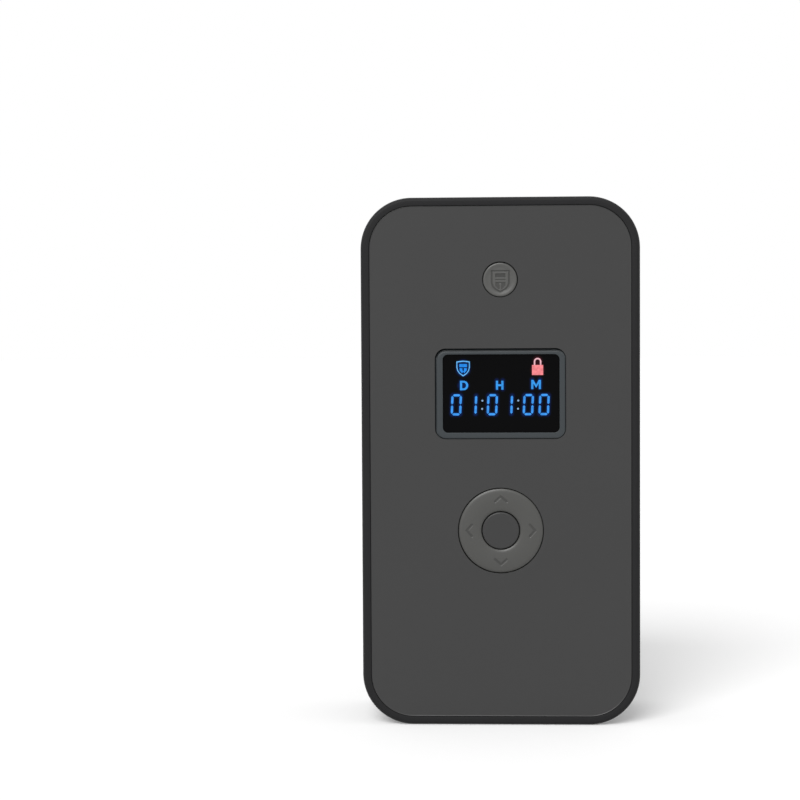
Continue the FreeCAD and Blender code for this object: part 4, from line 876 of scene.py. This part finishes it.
def display_signs():
    """Small shield at the upper left and a closed padlock at the upper right."""
    lit("shield_edge", [slab(shield_edge(EDGE_OUTER), shield_edge(EDGE_INNER), closed=True)],
        "edge_glow", (104, 184, 248))
    wings = [slab(SIGN + WING_OUTER * [side, 1], SIGN + WING_INNER * [side, 1])
             for side in (-1, 1)]
    lit("shield_inside", [square_bar(*moved(SIGN_BAR, SIGN))] + wings,
        "inside_glow", (44, 144, 242))
    lit("padlock_body", [square_bar(*moved(PADLOCK_BAR, PADLOCK))],
        "padlock_glow", (250, 140, 146))
    lit("padlock_bow", [slab(padlock_bow(BOW_OUTER), padlock_bow(BOW_INNER))],
        "bow_glow", (236, 182, 192))


def glow(across, height, strokes):
    """1 at the lit strokes, fading as a bell with the distance from them."""
    away = np.full(across.shape, FAR)
    for *line, half in strokes:
        away = np.minimum(away, line_distance(across, height, line) - half)
    return np.exp(-(np.maximum(away, 0) / GLOW_REACH) ** 2)


def window():
    """Lens with the light of the segments bleeding into it: a rounded grid marked with that glow.

    It reaches a little under the edge of the opening all round.
    """
    size = np.array(OPENING) + LENS_OVER
    columns = np.linspace(-1, 1, LENS_COLUMNS)
    heights = corner_heights(size[1], LENS_CORNER, LENS_STEP)
    across, height = rounded_grid(*size, LENS_CORNER, columns, heights)
    across, height = across + OPENING_SHIFT[0], height + OPENING_SHIFT[1]
    digits = [(*start, *end, BAR / 2) for start, end in digit_lines()]
    lights = {"blue_glow": digits + LETTER_GLOW + [moved(SIGN_GLOW, SIGN)],
              "red_glow": [moved(stroke, PADLOCK) for stroke in PADLOCK_GLOW]}
    top = front_points(DISPLAY[0] + across, WINDOW_FRONT, DISPLAY[1] + height)
    points, faces = closed_sheet(top, back_of("display_window"))
    spare = np.zeros(len(points) - across.size)
    marks = {label: np.r_[glow(across, height, strokes).ravel(), spare]
             for label, strokes in lights.items()}
    piece = new_piece("display_lens", points, faces, "lid", "display_black", glowing_window(),
                      marks=marks)
    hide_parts("display_window")


bezel()
window()
clock()
unit_letters()
display_signs()


# ---- rim and plate border

CASE_CORNER, CASE_STEPS = 18.3, 44
RIM_CREST = PLATE_FRONT + 0.3
RIM_INNER = 3.08
RIM_FALL, RIM_POINTS = 1.75, 13
RIM_ROUND_END, RIM_ROUND, RIM_BEND = 1.4, 1.38, 0.15
RIM_UNDER, RIM_WALL = 2.2, 1.2
BORDER_OUTER, BORDER_BEVEL, BORDER_WIDTH = 3.24, 0.04, 0.4
BORDER_DOWN, BORDER_SIDE, BORDER_TOP = 0.6, 0.05, 0.09
COVE_FROM, COVE_WIDTH, COVE_DROP, COVE_POWER, COVE_POINTS = 0.08, 0.26, 0.11, 0.8, 7


def carried_round(insets, levels):
    """Ring whose section, insets from the case's outline and levels, is carried round it."""
    middle = centre_of("lid_shell")
    path, out = rounded_path(*half_size("lid_shell"), CASE_CORNER, CASE_STEPS)
    place = path[None] - np.asarray(insets)[:, None, None] * out[None]
    points = front_points(middle[0] + place[..., 0], np.asarray(levels)[:, None],
                          middle[1] + place[..., 1])
    return points, closed_tube(points)


def rim_crest():
    """Front of the lid's rim: a quarter ellipse up to a flat that stands a little above the plate.

    A small round follows the flat, then a wall and a level underside lead back to the foot.
    """
    turn = np.linspace(0, math.pi / 2, RIM_POINTS)
    bend = turn[::3]
    foot = front_of("lid_shell") - RIM_FALL
    insets = np.r_[RIM_ROUND_END - RIM_ROUND * np.cos(turn),
                   RIM_INNER - RIM_BEND + RIM_BEND * np.sin(bend), RIM_INNER, RIM_UNDER]
    levels = np.r_[foot + (RIM_CREST - foot) * np.sin(turn),
                   RIM_CREST - RIM_BEND * (1 - np.cos(bend)), foot + RIM_WALL, foot]
    new_piece("lid_rim_crest", *carried_round(insets, levels), "lid", "shell_black")


def plate_border():
    """Upturned border of the front plate: a cove between the plate and just below the rim.

    From its top the cove falls towards the plate as a power of the way across.
    """
    share = np.linspace(0, 1, COVE_POINTS)
    insets = np.r_[BORDER_OUTER, BORDER_OUTER, BORDER_OUTER + BORDER_BEVEL,
                   BORDER_OUTER + COVE_FROM + COVE_WIDTH * share, BORDER_OUTER + BORDER_WIDTH]
    levels = PLATE_FRONT + np.r_[-BORDER_DOWN, BORDER_SIDE, BORDER_TOP,
                                 BORDER_TOP - COVE_DROP * share ** COVE_POWER, -BORDER_DOWN]
    new_piece("face_plate_border", *carried_round(insets, levels), "lid", "plate_grey")


rim_crest()
plate_border()


# ---- screws and mat

SCREW_SHANK, SCREW_HEAD, HEAD_HEIGHT = 1.2, 2.3, 1.2
SCREW_POINT, SCREW_COLUMNS = 0.3, 72
HEAD_BEND, HEAD_POINTS = 0.25, 6
FACE_ROWS = (1.75, 0.05, 0.07)
CROSS_HALF, CROSS_REACH, CROSS_EDGE = 0.3, 1.35, (-0.12, 0.06)
CROSS_DEPTH, CROSS_RISE = 0.75, 0.3
MAT_CORNER, MAT_COLUMNS, MAT_STEP = 14.8, 391, 4.0
MAT_END, MAT_END_STEP, HEIGHT_DIGITS = 3, 0.5, 4
RIB_PITCH, RIB_DEPTH, RIB_FADE = 2.4, 0.45, (2.0, 4.0)
MAT_EDGE_DROP, MAT_EDGE_WIDTH = 0.2, 0.6


def crossed_screw(foot, head):
    """Screw with a cross-shaped recess: rings along its axis, from the tip to the head's middle.

    Each ring has a radius and a place along the axis; on the head's face the place is lowered
    inside a cross, deepest at the middle.
    """
    foot, head = np.array(foot, float), np.array(head, float)
    length = np.linalg.norm(head - foot)
    towards = (head - foot) / length
    side = np.array([1.0, 0.0, 0.0])
    seat = length - HEAD_HEIGHT
    bend = np.linspace(0, math.pi / 2, HEAD_POINTS)
    inner = spread(FACE_ROWS)
    rims = np.r_[SCREW_SHANK - SCREW_POINT, SCREW_SHANK, SCREW_SHANK, SCREW_HEAD,
                 SCREW_HEAD - HEAD_BEND + HEAD_BEND * np.cos(bend), inner]
    places = np.r_[0, SCREW_POINT, seat, seat, length - HEAD_BEND + HEAD_BEND * np.sin(bend),
                   inner * 0 + length]
    angle = turn_steps(SCREW_COLUMNS)[None, :]
    across, along_side = rims[:, None] * np.cos(angle), rims[:, None] * np.sin(angle)
    from_middle = np.hypot(across, along_side)
    arm = np.maximum(np.minimum(np.abs(across), np.abs(along_side)) - CROSS_HALF,
                     from_middle - CROSS_REACH)
    sunk = (1 - smoothstep(*CROSS_EDGE, arm)) * (CROSS_DEPTH - CROSS_RISE * from_middle)
    height = places[:, None] - sunk * (places[:, None] >= length)
    axes = np.stack([side, np.cross(towards, side), towards])
    local = np.stack([across, along_side, height], axis=-1)
    return closed_turn(local @ axes + foot, foot, foot + towards * height[-1].mean())


def screw_set(name, node, body, ends):
    """The screws of one node, given by their tips and head faces, in place of the plain ones."""
    points, faces = joined([crossed_screw(foot, head) for foot, head in ends])
    piece = new_piece(name, points, faces, body, "screw_steel")
    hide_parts(node)


def cover_screws():
    """Six screws that hold the inner cover, their heads facing the cavity."""
    low, high = extent("cover_screws")
    columns = (low[0] + SCREW_HEAD, high[0] - SCREW_HEAD)
    rows = (low[2] + SCREW_HEAD, (low[2] + high[2]) / 2, high[2] - SCREW_HEAD)
    screw_set("cover_screws_crossed", "cover_screws", "lid",
              [((x, low[1], z), (x, high[1], z)) for x in columns for z in rows])


def hasp_screws():
    """Two screws through each hasp into the end wall behind it."""
    low, high = extent("hasp_screws")
    y = (low[1] + high[1]) / 2
    columns = (low[0] + SCREW_HEAD, high[0] - SCREW_HEAD)
    ends = ((low[2], extent("lower_hasp")[1][2] + HEAD_HEIGHT),
            (high[2], extent("upper_hasp")[0][2] - HEAD_HEIGHT))
    screw_set("hasp_screws_crossed", "hasp_screws", "container",
              [((x, y, tip), (x, y, face)) for x in columns for tip, face in ends])


def ribbed_mat():
    """Mat with fine upright ribs inside a plain border.

    Its level is the front less the rib depth times the square of a wave of the sideways place,
    where the wave is one half less half a cosine. The ribs fade out towards the border, and the
    border's edge falls off a little.
    """
    size = half_size("cavity_mat")
    columns = np.linspace(-1, 1, MAT_COLUMNS)
    straight = size[1] - MAT_CORNER
    ends = spread((straight - MAT_END, straight, MAT_END_STEP))
    heights = np.r_[corner_heights(size[1], MAT_CORNER, MAT_STEP), ends, -ends]
    heights = np.unique(np.round(heights, HEIGHT_DIGITS))
    across, height = rounded_grid(*size, MAT_CORNER, columns, heights)
    inside = inside_distance(across, height, *size, MAT_CORNER)
    wave = 0.5 - 0.5 * np.cos(2 * math.pi * across / RIB_PITCH)
    ribs = RIB_DEPTH * wave ** 2 * smoothstep(*RIB_FADE, inside)
    edge = MAT_EDGE_DROP * (1 - smoothstep(0, MAT_EDGE_WIDTH, inside))
    level = front_of("cavity_mat") - ribs - edge
    middle = centre_of("cavity_mat")
    points, faces = closed_sheet(front_points(middle[0] + across, level, middle[1] + height),
                                 back_of("cavity_mat"))
    piece = new_piece("cavity_mat_ribbed", points, faces, "container", "mat_rubber")
    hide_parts("cavity_mat")


cover_screws()
hasp_screws()
ribbed_mat()


# ---- floor, light and camera

ROOM_LIGHT = 0.6
KEY_POWER = 2.5
KEY_SPREAD, KEY_HEIGHT, KEY_BEARING = 34, 39, 20
FLOOR_REACH = 9000.0
FLOOR_WHITE, FLOOR_PALE = 0.22, 0.25
SENSOR_WIDTH, FOCAL_LENGTH = 36.0, 81.0
CAMERA_TURN = (2.458, 2.145, 0.313)
CAMERA_PLACE = (-0.0083, -0.6684, 0.1417)


def seen_white(tree):
    """1 for rays from the camera, a reflection or through glass, else 0."""
    path = add(tree, "ShaderNodeLightPath")
    bounced = maths(tree, "MAXIMUM", path.outputs["Is Glossy Ray"],
                    path.outputs["Is Transmission Ray"])
    return maths(tree, "MAXIMUM", path.outputs["Is Camera Ray"], bounced)


def floor_white():
    """Pale sheet that reads white where no shadow falls: part of what is seen is its own white."""
    material = bpy.data.materials.new("floor_white")
    tree, surface = empty_tree(material, "ShaderNodeOutputMaterial")
    seen = seen_white(tree)
    colour = mix_colour(tree, seen, (FLOOR_PALE, FLOOR_PALE, FLOOR_PALE, 1), WHITE)
    diffuse = add(tree, "ShaderNodeBsdfDiffuse", {"Color": colour})
    own = add(tree, "ShaderNodeEmission", {"Color": WHITE, "Strength": 1.0})
    share = maths(tree, "MULTIPLY", seen, FLOOR_WHITE)
    mixed = add(tree, "ShaderNodeMixShader", {0: share, 1: diffuse.outputs[0], 2: own.outputs[0]})
    tree.links.new(mixed.outputs[0], surface)
    return material


def floor():
    """Wide level sheet under the object."""
    side = np.linspace(-FLOOR_REACH, FLOOR_REACH, 3)
    x, y = np.meshgrid(side, side)
    points = np.stack([x, y, np.zeros_like(x)], axis=-1)
    mesh = bpy.data.meshes.new("floor")
    mesh.from_pydata((points.reshape(-1, 3) * MM).tolist(), [], grid_faces(3, 3).tolist())
    mesh.materials.append(floor_white())
    placed("floor", mesh)


def room():
    """White room: seen as white, and lighting the object with a weaker even light."""
    world = bpy.data.worlds.new("room")
    bpy.context.scene.world = world
    tree, surface = empty_tree(world, "ShaderNodeOutputWorld")
    strength = maths(tree, "MULTIPLY_ADD", seen_white(tree), 1.0 - ROOM_LIGHT, ROOM_LIGHT)
    back = add(tree, "ShaderNodeBackground", {"Color": WHITE, "Strength": strength})
    tree.links.new(back.outputs[0], surface)


def key_light():
    """Wide soft light from the upper left in front of the object."""
    data = bpy.data.lights.new("key_light", "SUN")
    data.energy = KEY_POWER
    data.angle = math.radians(KEY_SPREAD)
    lamp = placed("key_light", data)
    lamp.rotation_euler = (math.radians(90 - KEY_HEIGHT), 0, -math.radians(KEY_BEARING))


def camera():
    """Camera in front of the object, turned a little to its left and tipped a little down."""
    data = bpy.data.cameras.new("camera")
    data.sensor_width = SENSOR_WIDTH
    data.lens = FOCAL_LENGTH
    made = placed("camera", data)
    yaw, pitch, roll = (math.radians(angle) for angle in CAMERA_TURN)
    turn = Euler((math.pi / 2 - pitch, 0, yaw)).to_matrix() @ Matrix.Rotation(-roll, 3, "Z")
    made.rotation_euler = turn.to_euler()
    made.location = CAMERA_PLACE
    bpy.context.scene.camera = made


floor()
room()
key_light()
camera()
bpy.context.scene.view_settings.view_transform = "Standard"
